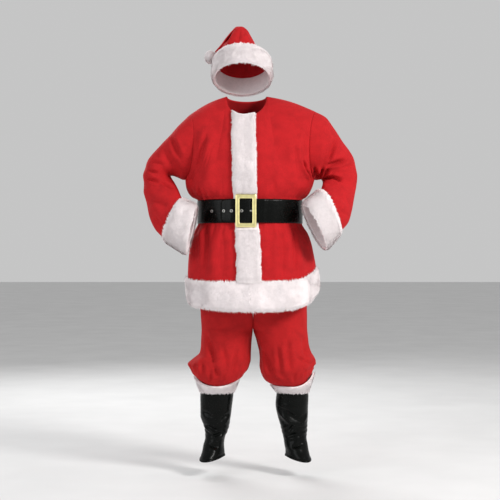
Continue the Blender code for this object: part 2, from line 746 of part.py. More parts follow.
def turned_quarter(side, face):
    """A quarter of the body with its columns in order round the body, and its fade near the armhole."""
    points = quarter_body(side, face)
    u = np.linspace(0, 1, QUARTER_COLUMNS + 1)
    w = np.clip((np.arange(len(points)) - len(JACKET_ROWS) + 1) / YOKE_ROWS, 0, 1)
    edge = np.clip((u - 0.7) / 0.3, 0, 1)
    top = np.clip((w - 0.7) / 0.3, 0, 1)
    fade = (1 - edge[None, :] * (w[:, None] > 0)) * (1 - top[:, None])
    if side * face > 0:
        points, fade = points[:, ::-1], fade[:, ::-1]
    return points, fade


def hem_grid(start, end, count):
    """The skirt below the seam, between two angles, from the hem up."""
    angle = np.linspace(start, end, count + 1)
    rows = []
    for place in PILE_PLACES:
        row = torso_point((angle + 180) % 360 - 180, HEM_BASE - HEM_FALL * (1 - place))
        hem, seam = hem_level("hem", angle), hem_level("seam", angle)
        row[:, 2] = hem + (seam - hem) * place
        rows.append(row)
    return np.array(rows)


def cuff_grid(side, sleeve_end):
    """A cuff from the sleeve's last ring to the ring at the hand."""
    values = dict(zip(SLEEVE_COLUMNS, CUFFS[side]))
    hand = ring_points(
        (values["upper_x"], values["upper_z"]),
        (values["under_x"], values["under_z"]),
        values["centre_y"],
        values["depth"],
        len(sleeve_end),
        SLEEVE_SQUARENESS,
        side * values["lean"],
    )
    places = np.maximum(PILE_PLACES, CUFF_START)
    return np.array([sleeve_end + (hand - sleeve_end) * place for place in places])


def jacket_grids():
    """The jacket as grids of points before thickness, with one set of normals for them all."""
    front_right, fade_right = turned_quarter(-1, -1)
    front_left, fade_left = turned_quarter(1, -1)
    back_left, fade_back_left = turned_quarter(1, 1)
    back_right, fade_back_right = turned_quarter(-1, 1)
    back = np.concatenate((back_left, back_right[:, 1:]), axis=1)
    back_fade = np.concatenate((fade_back_left, fade_back_right[:, 1:]), axis=1)
    middle = float(centre_angle(HEM_BASE))
    count = QUARTER_COLUMNS
    grids = {
        "jacket_front_right": front_right,
        "jacket_front_left": front_left,
        "jacket_back": back,
        "plush_hem_right": hem_grid(-90, middle, count),
        "plush_hem_left": hem_grid(middle, 90, count),
        "plush_hem_back": hem_grid(90, 270, 2 * count),
    }
    heights = {
        "jacket_front_right": jacket_fold(front_right, fade_right),
        "jacket_front_left": jacket_fold(front_left, fade_left),
        "jacket_back": jacket_fold(back, back_fade),
    }
    for side, wearer in ((-1, "right"), (1, "left")):
        rings, sink = sleeve_rings(side)
        cuff = cuff_grid(side, rings[-1])
        if side > 0:
            order = [0] + list(range(rings.shape[1] - 1, 0, -1))
            rings, sink, cuff = rings[:, order], sink[:, order], cuff[:, order]
        grids[f"jacket_sleeve_{wearer}"] = rings
        heights[f"jacket_sleeve_{wearer}"] = sink
        grids[f"plush_cuff_{wearer}"] = cuff
    names = list(grids)
    normals = share_normals(
        list(grids.values()), [grid_normals(grids[name], is_tube(name)) for name in names]
    )
    for wearer in ("right", "left"):
        normals[names.index(f"plush_cuff_{wearer}")][0] = normals[names.index(f"jacket_sleeve_{wearer}")][-1]
    shaped = {}
    for name, normal in zip(names, normals):
        points = grids[name]
        if name.startswith("plush_hem"):
            height = jacket_fold(points, 1.0)
        else:
            height = heights.get(name, np.zeros(points.shape[:2]))
        shaped[name] = (points + normal * height[..., None], normal)
    return shaped


def is_tube(name):
    return "sleeve" in name or "cuff" in name


def make_jacket():
    grids = jacket_grids()
    every_edge = ("bottom", "top", "start", "end")
    for name, (points, normals) in grids.items():
        if name.startswith("plush"):
            first, second = np.meshgrid(
                np.linspace(0, 6, points.shape[0]), np.linspace(0, 9, points.shape[1]), indexing="ij"
            )
            share = pile_share(np.array(PILE_PLACES))[:, None]
            uneven = lumps(first, np.sin(second * math.pi / 9) * 4 if is_tube(name) else second)
            plush_wall(name, points, normals, PLUSH_PILE * share * uneven, is_tube(name), every_edge)
        else:
            outer = pull_back_all(points, is_tube(name), every_edge)
            wall(name, outer, outer - normals * FLANNEL, "red_flannel", is_tube(name))
    make_front_band(grids)


BAND_LIFT = 0.0008
BAND_YOKE_LIFT = 0.0022
BAND_PRESSED = 0.0032
BAND_ACROSS = (-1.0, -0.8, -0.4, 0.0, 0.4, 0.8, 1.0)
BAND_SHARES = (0.25, 0.8, 1.0, 1.0, 1.0, 0.8, 0.25)


def belt_press(z):
    """1 behind the belt and its buckle, 0 a finger's width above and below them."""
    beyond = np.abs(z - BELT_HEIGHT) - BUCKLE_HEIGHT / 2
    return np.clip(1 - (beyond - 0.006) / 0.014, 0, 1)


def make_front_band(grids):
    """The plush down the front edge, on the points of both fronts."""
    joined = [
        np.concatenate((grids["jacket_front_right"][part][:, :-1], grids["jacket_front_left"][part]), axis=1)
        for part in (0, 1)
    ]
    half_width = FRONT_BAND_WIDTH / 2
    rows, normals = [], []
    for points, normal in zip(*joined):
        middle = points[QUARTER_COLUMNS, 0]
        at = middle + np.array(BAND_ACROSS) * half_width
        for edge, neighbour in ((1, QUARTER_COLUMNS - 1), (-2, QUARTER_COLUMNS + 1)):
            if abs(points[neighbour, 0] - middle) < half_width * 0.97:
                at[edge] = points[neighbour, 0]
        rows.append(np.stack([np.interp(at, points[:, 0], points[:, axis]) for axis in range(3)], axis=-1))
        normals.append(np.stack([np.interp(at, points[:, 0], normal[:, axis]) for axis in range(3)], axis=-1))
    rows, normals = np.array(rows), np.array(normals)
    normals /= np.linalg.norm(normals, axis=-1, keepdims=True)
    rows[0, :, 2] += SEAM_GAP
    press = belt_press(rows[..., 2])
    lift = BAND_LIFT + BAND_YOKE_LIFT * np.clip((rows[..., 2:] - 1.19) / 0.03, 0, 1)
    place = np.arange(len(rows))[:, None]
    full = PLUSH_BACKING + PLUSH_PILE * np.array(BAND_SHARES) * lumps(place * 1.3, np.array(BAND_ACROSS) * 2)
    full[0] *= 0.7
    thick = full * (1 - press) + BAND_PRESSED * press
    inner = rows + normals * lift
    wall("plush_front_band", inner + normals * thick[..., None], inner, "white_plush")


# Belt

BELT_CLEAR = 0.0005
BELT_LAYER = 0.0031
BELT_START = -4.0
BELT_TIP = -389.6
BELT_STEPS = 66
STEP_OVER_STARTS = -300.0
STEP_OVER_ENDS = -352.0
EYELETS = (
    ("belt_eyelet_1", -366.7),
    ("belt_eyelet_2", -376.7),
    ("belt_eyelet_3", -385.6),
    ("belt_eyelet_4", -42.1),
)


def belt_point(angle, lift):
    """A point of the belt's inner face at mid height, and its outward direction."""
    step = 0.01

    def on_body(turn):
        wrapped = (turn + 180) % 360 - 180
        return torso_point(np.asarray(wrapped, float), BELT_HEIGHT + BELT_WIDTH / 2 + 0.003)

    here = on_body(angle)
    along = on_body(angle + step) - on_body(angle - step)
    outward = np.array((along[1], -along[0], 0.0))
    outward /= np.linalg.norm(outward)
    middle = curve(*zip(*FRONT_EDGE), BELT_HEIGHT)
    over_band = 0.0
    if here[1] < 0:
        aside = abs(here[0] - middle) - FRONT_BAND_WIDTH / 2
        over_band = (BAND_LIFT + BAND_PRESSED) * float(np.clip(1.25 - aside / 0.024, 0, 1))
    point = here + outward * (BELT_CLEAR + over_band + lift)
    point[2] = BELT_HEIGHT
    return point, outward


def belt_lift(angle):
    """The strap runs on over its own start: how far it has stepped out at an angle."""
    share = np.clip((STEP_OVER_STARTS - angle) / (STEP_OVER_STARTS - STEP_OVER_ENDS), 0, 1)
    return BELT_LAYER * share * share * (3 - 2 * share)


def make_belt():
    """One strap that starts behind the buckle, goes once round and ends in a free tip on itself."""
    angles = np.linspace(BELT_START, BELT_TIP, BELT_STEPS + 1)
    outer, inner = [], []
    for angle in angles[::-1]:
        point, outward = belt_point(angle, belt_lift(angle))
        inner.append(point)
        outer.append(point + outward * BELT_THICKNESS)
    heights = np.array((-BELT_WIDTH / 2, BELT_WIDTH / 2))
    grids = []
    for face in (outer, inner):
        grid = np.repeat(np.array(face)[None], len(heights), axis=0)
        grid[..., 2] += heights[:, None]
        grids.append(grid)
    wall("belt_strap", grids[0], grids[1], "black_vinyl")
    make_eyelets()
    make_buckle()


def make_eyelets():
    for name, angle in EYELETS:
        lift = belt_lift(angle) if angle < -180 else 0.0
        point, outward = belt_point(angle, lift)
        seat = point + outward * (BELT_THICKNESS + 0.0014)
        sections = []
        sideways = np.array((-outward[1], outward[0], 0.0))
        for turn in np.linspace(0, 2 * math.pi, 10, endpoint=False):
            radial = sideways * math.cos(turn) + np.array((0, 0, 1.0)) * math.sin(turn)
            section = [
                seat + radial * (EYELET_RADIUS + 0.0016 * math.cos(round_turn))
                + outward * 0.0009 * math.sin(round_turn)
                for round_turn in np.linspace(0, 2 * math.pi, 6, endpoint=False)
            ]
            sections.append(section)
        hoop(name, sections, "nickel")


def make_buckle():
    """A plain frame that stands on the strap, and the stud on its bar that holds the strap's hole."""
    middle_x = float(curve(*zip(*FRONT_EDGE), BELT_HEIGHT))
    front = min(belt_point(angle, BELT_LAYER)[0][1] for angle in np.linspace(-16, 8, 13))
    back_y = front - BELT_THICKNESS - LAID_ON
    half_width, half_height = BUCKLE_WIDTH / 2, BUCKLE_HEIGHT / 2
    corner = 0.004
    outline = []
    for x_sign, z_sign in ((1, 1), (-1, 1), (-1, -1), (1, -1)):
        cut = ((0, -corner), (-corner, 0)) if x_sign * z_sign > 0 else ((-corner, 0), (0, -corner))
        for cut_x, cut_z in cut:
            outline.append((x_sign * (half_width + cut_x), z_sign * (half_height + cut_z), x_sign, z_sign))
    profile = (
        (0.0, 0.0),
        (0.0, 0.55),
        (0.2, 1.0),
        (0.8, 1.0),
        (1.0, 0.55),
        (1.0, 0.0),
    )
    sections = []
    for x, z, x_sign, z_sign in outline:
        section = []
        for inward, forward in profile:
            inner_x = x_sign * (half_width - BUCKLE_BAR)
            inner_z = z_sign * (half_height - BUCKLE_BAR)
            point_x = x + (inner_x - x) * inward
            point_z = z + (inner_z - z) * inward
            if inward == 1.0:
                point_x += (x - x_sign * half_width) * 0.25
                point_z += (z - z_sign * half_height) * 0.25
            section.append((middle_x + point_x, back_y - BUCKLE_DEPTH * forward, BELT_HEIGHT + point_z))
        sections.append(section)
    hoop("belt_buckle", sections, "pale_brass")
    stud_x = middle_x + half_width - BUCKLE_BAR
    rings = []
    for along, half in ((0.0003, 0.003), (0.007, 0.003), (0.010, 0.0015)):
        ring = [
            (stud_x - along, back_y - 0.0012 + depth, BELT_HEIGHT + rise * half)
            for depth, rise in ((0.0009, -1), (0.0009, 1), (-0.0009, 1), (-0.0009, -1))
        ]
        rings.append(ring)
    ball_from_rings("belt_buckle_stud", rings, "nickel")


# Trousers

LEG_PANEL_COLUMNS = 9
SEAT_ROWS = (0.602, 0.620, 0.648, 0.690, 0.760, 0.860, 0.960)
WAIST_START = 1.032
WAIST_CENTRE_ANGLE = 3.0
WAIST_CLEAR = 0.0009
WAISTBAND_THICKNESS = 0.003
WAISTBAND_ROWS = 3
RISE_HEIGHT = 0.13
CROTCH_Z = 0.59


def rim_height(side, toward_outer, toward_front):
    """How high the boot's plush stands at a direction round the leg."""
    inner, front, outer, back = BOOT_RIM[side]
    across = np.where(toward_outer > 0, outer, inner)
    along = np.where(toward_front > 0, front, back)
    return across + (along - across) * np.abs(toward_front) ** RIM_ROUNDNESS


def leg_row(side, face, z, u):
    """Half round a leg at a height, from the inseam to the outseam; low down it follows the boot's rim."""
    table = LEGS[side]
    values = {name: float(read(LEG_COLUMNS, table, "z", name, z)) for name in LEG_COLUMNS}
    middle, half = (values["outer"] + values["inner"]) / 2, (values["outer"] - values["inner"]) / 2
    turn = math.pi * u
    x = middle - half * np.cos(turn)
    y = values["centre_y"] + face * values["depth"] * power(np.sin(turn), 0.9)
    rise = rim_height(side, -np.cos(turn), -face * np.sin(turn)) - RIM_LEVEL
    z = z + rise * float(curve(*zip(*RIM_FOLLOWED), z))
    return np.stack(np.broadcast_arrays(x, y, z), axis=-1)


def seat_row(side, face, z, u):
    """Half a front or half a back above the crotch, from the centre seam to the side seam."""
    values = {name: float(read(SEAT_COLUMNS, SEAT, "z", name, z)) for name in SEAT_COLUMNS}
    leg = leg_row(side, face, CROTCH_Z, u)
    outer = values["left"] if side > 0 else values["right"]
    x = CROTCH_X + (outer - CROTCH_X) * (leg[:, 0] - leg[0, 0]) / (leg[-1, 0] - leg[0, 0])
    reach = values["front"] if face < 0 else values["back"]
    share = (x - CROTCH_X) / (outer - CROTCH_X)
    whole = face * reach * np.sqrt(np.clip(1 - np.abs(share) ** 2.4, 0, 1))
    whole += leg[-1, 1]
    blend = np.clip((z - CROTCH_Z) / RISE_HEIGHT, 0, 1) ** 0.5
    y = leg[:, 1] * (1 - blend) + whole * blend
    return np.stack(np.broadcast_arrays(x, y, z), axis=-1)


def waist_row(side, face, z, u):
    """The top edge under the belt, just inside the jacket."""
    start = WAIST_CENTRE_ANGLE if face < 0 else 180.0 * side
    angle = start + (90.0 * side - start) * u
    points = torso_point(angle, BELT_HEIGHT)
    along = torso_point(angle + 0.01, BELT_HEIGHT) - torso_point(angle - 0.01, BELT_HEIGHT)
    outward = np.stack((along[:, 1], -along[:, 0], np.zeros(len(u))), axis=-1)
    outward /= np.linalg.norm(outward, axis=-1, keepdims=True)
    points = points - outward * (FLANNEL + WAIST_CLEAR)
    points[:, 2] = z
    return points


def leg_fold(side, points):
    """Folds by degrees round the leg from its front, towards the wearer's left."""
    table = LEGS[side]
    z = points[..., 2]
    middle = (
        read(LEG_COLUMNS, table, "z", "outer", z) + read(LEG_COLUMNS, table, "z", "inner", z)
    ) / 2
    angle = np.degrees(np.arctan2(points[..., 0] - middle, -points[..., 1]))
    fade = np.clip((z - 0.372) / 0.03, 0, 1) * np.clip((CROTCH_Z + 0.03 - z) / 0.05, 0, 1)
    return fold_height(LEG_FOLD_COLUMNS, LEG_FOLDS[side], angle, z) * fade


def trouser_panel(side, face):
    u = np.linspace(0, 1, LEG_PANEL_COLUMNS + 1)
    leg_heights = [row[0] for row in LEGS[side]]
    rows = [leg_row(side, face, z, u) for z in leg_heights]
    rows += [seat_row(side, face, z, u) for z in SEAT_ROWS]
    rows.append(waist_row(side, face, WAIST_START, u))
    points = np.array(rows)
    if side * face > 0:
        points = points[:, ::-1]
    return points


def make_trousers():
    for side, wearer in ((-1, "right"), (1, "left")):
        grids = [trouser_panel(side, face) for face in (-1, 1)]
        normals = share_normals(grids, [grid_normals(grid, False) for grid in grids])
        for grid, normal, place in zip(grids, normals, ("front", "back")):
            normal[-1, :, 2] = 0.0
            normal[-1] /= np.linalg.norm(normal[-1], axis=-1, keepdims=True)
            points = grid + normal * leg_fold(side, grid)[..., None]
            outer = pull_back_all(points, False, ("bottom", "top", "start", "end"))
            wall(f"trouser_{place}_{wearer}", outer, outer - normal * FLANNEL, "red_flannel")
    make_waistband()


def make_waistband():
    u = np.linspace(0, 1, LEG_PANEL_COLUMNS + 1)
    rings = []
    for z in np.linspace(WAIST_START, WAIST_START + WAISTBAND_HEIGHT, WAISTBAND_ROWS):
        quarters = (
            waist_row(-1, -1, z, u)[::-1],
            waist_row(1, -1, z, u)[1:],
            waist_row(1, 1, z, u)[::-1][1:],
            waist_row(-1, 1, z, u)[1:-1],
        )
        rings.append(np.concatenate(quarters) + np.array((0.0, 0.0, SEAM_GAP)))
    outer = np.array(rings)
    inner = outer - grid_normals(outer, True) * WAISTBAND_THICKNESS
    wall("trouser_waistband", outer, inner, "red_flannel", wrap=True)


# Boot tops

def boot_ring(side, z, grow=0.0):
    table = BOOTS[side]
    values = {name: float(read(BOOT_COLUMNS, table, "z", name, z)) for name in BOOT_COLUMNS}
    turn = np.linspace(0, 2 * math.pi, RING_SIDES, endpoint=False)
    middle = (values["outer"] + values["inner"]) / 2
    half = abs(values["outer"] - values["inner"]) / 2 + grow
    reach_x, reach_y = -np.cos(turn), np.sin(turn)
    x = half * reach_x
    y = np.where(reach_y > 0, -(values["front"] + grow) * reach_y, -(values["back"] + grow) * reach_y)
    down = np.clip((TOE_OUT_STARTS - z) / (TOE_OUT_STARTS - table[-1][0]), 0, 1)
    yaw = side * TOE_OUT * down
    turned_x = x * math.cos(yaw) - y * math.sin(yaw)
    turned_y = x * math.sin(yaw) + y * math.cos(yaw)
    height = z - values["drop"] * np.clip(reach_y, 0, 1)
    return np.stack(
        np.broadcast_arrays(middle + turned_x, values["centre_y"] + turned_y, height), axis=-1
    )


def make_boot_tops():
    for side, wearer in ((-1, "right"), (1, "left")):
        heights = [row[0] for row in BOOTS[side]][::-1]
        rings = np.array([boot_ring(side, z) for z in heights])
        outer = pull_back_all(rings, True, ("bottom", "top"))
        wall(f"boot_top_{wearer}", outer, outer - grid_normals(rings, True) * VINYL, "black_vinyl", wrap=True)
        top = heights[-1]
        inner = np.array([boot_ring(side, top, row[1] - VINYL) for row in BOOT_CUFF])
        thick = np.array([PLUSH_BACKING + row[2] for row in BOOT_CUFF])
        turn = np.linspace(0, 2 * math.pi, RING_SIDES, endpoint=False)
        bulk = np.array([boot_ring(side, top, spread[1] + deep) for spread, deep in zip(BOOT_CUFF, thick)])
        rim = rim_height(side, -side * np.cos(turn), np.sin(turn)) / RIM_LEVEL
        for i, row in enumerate(BOOT_CUFF):
            inner[i, :, 2] += row[0] * rim + SEAM_GAP
            bulk[i, :, 2] += row[0] * rim + SEAM_GAP
        middle = inner.mean(axis=1, keepdims=True)
        uneven = 1 + 0.012 * np.sin(turn * 5)[None, :, None]
        bulk = middle + (bulk - middle) * np.concatenate((uneven, uneven, np.ones_like(uneven)), axis=2)
        wall(f"plush_boot_{wearer}", bulk, inner, "white_plush", wrap=True)


# Hat

HAT_SIDES = 22
LOCK_REACH = 1.3


def hat_ring(height, half_width, half_depth):
    """A ring round the tilted head opening, starting at the wearer's right and passing the front."""
    turn = np.linspace(0, 2 * math.pi, HAT_SIDES, endpoint=False)
    x = -half_width * np.cos(turn)
    y = -half_depth * np.sin(turn)
    tilted_y = y * math.cos(HAT_TILT) + height * math.sin(HAT_TILT)
    tilted_z = -y * math.sin(HAT_TILT) + height * math.cos(HAT_TILT)
    return np.array(HAT_CENTRE) + np.stack((x, tilted_y, tilted_z), axis=-1)


def make_hat():
    half_height = HAT_BAND_HEIGHT / 2
    places = np.array(PILE_PLACES)
    base = np.array([hat_ring(-half_height + HAT_BAND_HEIGHT * p, HAT_HALF_WIDTH, HAT_HALF_DEPTH) for p in places])
    place, turn = np.meshgrid(places, np.linspace(0, 2 * math.pi, HAT_SIDES, endpoint=False), indexing="ij")
    pile = HAT_PILE * pile_share(place) * lumps(np.sin(turn) * 4, place * 5)
    rings = [base[-1]]
    for row in CROWN:
        values = dict(zip(CROWN_COLUMNS, row))
        rings.append(
            ring_points(
                (values["right_x"], values["right_z"]),
                (values["left_x"], values["left_z"]),
                values["centre_y"],
                values["depth"],
                HAT_SIDES,
            )
        )
    rings = np.array(rings)
    band_normals, normals = share_normals([base, rings], [grid_normals(base, True), grid_normals(rings, True)])
    plush_wall("hat_band", base, band_normals, pile, True, ("bottom", "top"))
    outer = pull_back_all(rings, True, ("bottom",))
    wall("hat_crown", outer, outer - normals * FLANNEL, "red_flannel", wrap=True)
    end = rings[-1].mean(axis=0)
    along = end - rings[-2].mean(axis=0)
    along /= np.linalg.norm(along)
    make_pompom(end + along * (POMPOM_RADIUS + LAID_ON), along)


def make_pompom(centre, along):
    """A ball of short locks, each with three sides; the locks lie flat where the hat's tip holds it."""
    form = bmesh.new()
    bmesh.ops.create_icosphere(form, subdivisions=2, radius=POMPOM_RADIUS)
    for face in list(form.faces):
        middle = face.calc_center_median()
        away = float(np.dot(np.array(middle), along)) / middle.length
        reach = POMPOM_RADIUS * (LOCK_REACH if away > -0.7 else 0.94)
        tip = form.verts.new(middle * (reach / middle.length))
        corners = list(face.verts)
        form.faces.remove(face)
        for i in range(3):
            form.faces.new([corners[i], corners[(i + 1) % 3], tip])
    bmesh.ops.recalc_face_normals(form, faces=form.faces)
    bmesh.ops.translate(form, verts=form.verts, vec=centre)
    mesh = bpy.data.meshes.new("hat_pompom")
    form.to_mesh(mesh)
    form.free()
    add_object("hat_pompom", mesh, "white_plush")


def main():
    clear_scene()
    make_root()
    make_jacket()
    make_belt()
    make_trousers()
    make_boot_tops()
    make_hat()


main()
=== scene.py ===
"""A costume suit of red flannel and white plush, worn and empty: its soft pieces, finishes and stage.

Metres, +Z up, in the part's own frame: the front faces -Y, the wearer's right is at -X and the origin is
the middle of the shoulders. Tables give heights above the floor the wearer stands on.
"""

import functools
import math

import bmesh
import bpy
import numpy as np
from bpy.props import FloatProperty, FloatVectorProperty, IntProperty, PointerProperty
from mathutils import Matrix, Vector


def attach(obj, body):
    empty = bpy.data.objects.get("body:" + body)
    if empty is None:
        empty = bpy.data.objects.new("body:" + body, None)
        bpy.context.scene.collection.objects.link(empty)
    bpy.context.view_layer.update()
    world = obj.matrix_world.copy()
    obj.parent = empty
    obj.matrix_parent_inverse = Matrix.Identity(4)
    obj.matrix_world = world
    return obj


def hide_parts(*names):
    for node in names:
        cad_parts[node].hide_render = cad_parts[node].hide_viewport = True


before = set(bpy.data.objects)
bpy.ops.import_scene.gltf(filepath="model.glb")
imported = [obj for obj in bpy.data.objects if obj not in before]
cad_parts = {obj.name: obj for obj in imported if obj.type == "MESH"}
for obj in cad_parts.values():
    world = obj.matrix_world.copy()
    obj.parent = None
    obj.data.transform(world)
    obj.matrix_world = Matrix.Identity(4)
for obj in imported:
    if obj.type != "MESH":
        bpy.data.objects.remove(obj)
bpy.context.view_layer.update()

bl_info = {
    "name": "Santa suit",
    "version": (1, 0, 0),
    "blender": (4, 5, 0),
    "location": "3D View > Sidebar > Suit",
    "description": "Makes the soft pieces of a plush-trimmed flannel suit over its solids",
    "category": "Object",
}

# The wearer's sides, by the sign of X
SIDES = ((-1, "right"), (1, "left"))

# Fixed sizes that the solids share
SHOULDER_HEIGHT = 1.48
LAID_ON = 0.0003
PLUSH_BACKING = 0.003
BELT_HEIGHT = 1.073
# How far a seam is open between two pieces
SEAM_GAP = 0.0002

# The shares of a quarter of the body at which its folds start to fade, and over which they do
FADE_STARTS = 0.7
FADE_TAKES = 0.3

# How finely the cloth is sampled
PANEL_COLUMNS = 72
SKIRT_ROWS = 70
YOKE_ROWS = 44
NECK_SHARE = 1 / 3
SLEEVE_ROWS = 96
CUFF_ROWS = 22
LEG_PANEL_COLUMNS = 46
LEG_ROWS = 120
BOOT_SIDES = 120
BOOT_ROWS = 90
HAT_SIDES = 96
CROWN_ROWS = 84


# The jacket's body below the armholes: height, sideways middle, half width, front and back reach
TORSO_COLUMNS = ("z", "middle", "half_width", "front", "back")
TORSO = (
    (0.64, 0.014, 0.257, 0.232, 0.205),
    (0.80, 0.004, 0.258, 0.222, 0.195),
    (0.90, 0.001, 0.250, 0.210, 0.182),
    (0.98, 0.000, 0.232, 0.193, 0.165),
    (1.022, 0.000, 0.213, 0.184, 0.151),
    (1.073, 0.000, 0.211, 0.183, 0.150),
    (1.124, 0.000, 0.213, 0.184, 0.151),
    (1.137, -0.003, 0.234, 0.189, 0.160),
    (1.154, -0.004, 0.248, 0.193, 0.165),
    (1.178, -0.003, 0.259, 0.196, 0.168),
    (1.205, 0.000, 0.264, 0.195, 0.168),
)
TORSO_SQUARENESS = 0.88

# Where the front closes, seen from in front: height, sideways place
FRONT_EDGE = ((0.66, -0.002), (0.90, -0.006), (1.073, -0.016), (1.20, -0.021), (1.46, -0.026))

# The skirt's two levels round the body, by degrees from the front towards the wearer's left
HEM_COLUMNS = ("angle", "seam", "hem")
HEM_LEVELS = (
    (-180, 0.800, 0.685),
    (-125, 0.800, 0.690),
    (-90, 0.811, 0.703),
    (-60, 0.795, 0.683),
    (-30, 0.789, 0.672),
    (0, 0.790, 0.665),
    (30, 0.792, 0.672),
    (60, 0.812, 0.700),
    (90, 0.848, 0.745),
    (125, 0.835, 0.725),
    (180, 0.800, 0.685),
)
HEM_BASE = 0.80
HEM_FALL = 0.13
HEM_SHIFT_ENDS = 1.00

# Centre lines above the armholes: height, reach
FRONT_CENTRE = ((1.205, -0.195), (1.29, -0.183), (1.38, -0.150), (1.455, -0.104))
BACK_CENTRE = ((1.205, 0.168), (1.33, 0.165), (1.45, 0.130), (1.535, 0.072))
NECK_CENTRE_X = -0.014
NECK_HALF_WIDTH = 0.082
NECK_SIDE_HEIGHT = 1.548

# Armholes, by side: shoulder point and armpit, seen from in front
ARMHOLES = {
    -1: {"shoulder_x": -0.250, "shoulder_z": 1.470, "armpit_x": -0.264, "armpit_z": 1.205},
    1: {"shoulder_x": 0.272, "shoulder_z": 1.483, "armpit_x": 0.264, "armpit_z": 1.205},
}
ARMHOLE_FRONT = 0.118
ARMHOLE_BACK = 0.112
ARMHOLE_INSET = 0.030
ARMHOLE_SQUARENESS = 0.85
SHOULDER_SEAM_RISE = 0.010

# Sleeve rings: upper edge and under edge seen from in front, centre, front-to-back half depth, and how
# far the ring's front leans back up the sleeve
SLEEVES = {
    -1: (
        (-0.286, 1.433, -0.276, 1.206, 0.000, 0.112, 0.00),
        (-0.318, 1.398, -0.290, 1.212, 0.004, 0.104, 0.00),
        (-0.360, 1.355, -0.303, 1.218, 0.008, 0.098, 0.00),
        (-0.400, 1.311, -0.314, 1.222, 0.010, 0.092, 0.00),
        (-0.430, 1.268, -0.322, 1.224, 0.010, 0.088, 0.00),
        (-0.446, 1.216, -0.326, 1.221, 0.006, 0.085, 0.00),
        (-0.438, 1.163, -0.320, 1.210, -0.008, 0.083, 0.00),
        (-0.422, 1.112, -0.308, 1.193, -0.030, 0.081, 0.00),
        (-0.408, 1.054, -0.295, 1.172, -0.056, 0.079, 0.06),
        (-0.380, 1.000, -0.284, 1.148, -0.082, 0.077, 0.13),
        (-0.342, 0.962, -0.275, 1.120, -0.106, 0.074, 0.16),
    ),
    1: (
        (0.310, 1.461, 0.274, 1.205, 0.000, 0.112, 0.00),
        (0.342, 1.420, 0.280, 1.206, 0.004, 0.104, 0.00),
        (0.380, 1.363, 0.285, 1.207, 0.008, 0.098, 0.00),
        (0.411, 1.320, 0.289, 1.208, 0.010, 0.093, 0.00),
        (0.433, 1.276, 0.292, 1.208, 0.010, 0.089, 0.00),
        (0.441, 1.226, 0.294, 1.206, 0.006, 0.086, 0.00),
        (0.434, 1.176, 0.295, 1.202, -0.010, 0.084, 0.00),
        (0.424, 1.128, 0.295, 1.196, -0.034, 0.082, 0.00),
        (0.412, 1.080, 0.294, 1.188, -0.060, 0.080, 0.06),
        (0.396, 1.032, 0.291, 1.176, -0.086, 0.078, 0.13),
        (0.358, 0.989, 0.286, 1.158, -0.108, 0.075, 0.16),
    ),
}
SLEEVE_SQUARENESS = 0.92

# Cuffs: the ring at the hand, in the sleeve's columns, and the share of the way at which the plush starts
CUFF_START = 0.011
CUFFS = {
    -1: (-0.250, 0.905, -0.212, 1.090, -0.158, 0.070, 0.04),
    1: (0.299, 0.922, 0.213, 1.098, -0.147, 0.081, 0.16),
}

# Trousers: height, both edges of each leg seen from in front, centre and half depth
LEG_COLUMNS = ("z", "outer", "inner", "centre_y", "depth")
LEGS = {
    -1: (
        (0.352, -0.196, -0.072, 0.000, 0.058),
        (0.372, -0.199, -0.067, 0.000, 0.068),
        (0.388, -0.228, -0.031, -0.005, 0.089),
        (0.406, -0.238, -0.020, -0.006, 0.103),
        (0.425, -0.247, -0.009, -0.008, 0.112),
        (0.447, -0.256, -0.002, -0.008, 0.116),
        (0.468, -0.240, 0.003, -0.008, 0.114),
        (0.500, -0.206, 0.004, -0.006, 0.108),
        (0.545, -0.200, 0.007, -0.004, 0.106),
        (0.590, -0.199, 0.0118, -0.002, 0.110),
    ),
    1: (
        (0.352, 0.234, 0.115, 0.000, 0.056),
        (0.374, 0.244, 0.104, 0.000, 0.066),
        (0.3825, 0.250, 0.086, -0.003, 0.079),
        (0.3915, 0.257, 0.068, -0.005, 0.089),
        (0.406, 0.260, 0.055, -0.006, 0.103),
        (0.425, 0.260, 0.045, -0.008, 0.112),
        (0.447, 0.269, 0.040, -0.008, 0.116),
        (0.468, 0.268, 0.040, -0.008, 0.114),
        (0.500, 0.250, 0.038, -0.006, 0.108),
        (0.545, 0.237, 0.026, -0.004, 0.106),
        (0.590, 0.234, 0.0128, -0.002, 0.110),
    ),
}
CROTCH_X = 0.0123
# The seat above the crotch: height, both sides, front and back reach
SEAT_COLUMNS = ("z", "right", "left", "front", "back")
SEAT = (
    (0.590, -0.199, 0.234, 0.112, 0.108),
    (0.625, -0.200, 0.234, 0.122, 0.124),
    (0.680, -0.203, 0.234, 0.132, 0.138),
    (0.780, -0.207, 0.226, 0.140, 0.142),
    (0.900, -0.198, 0.208, 0.146, 0.136),
    (0.985, -0.199, 0.203, 0.160, 0.138),
)

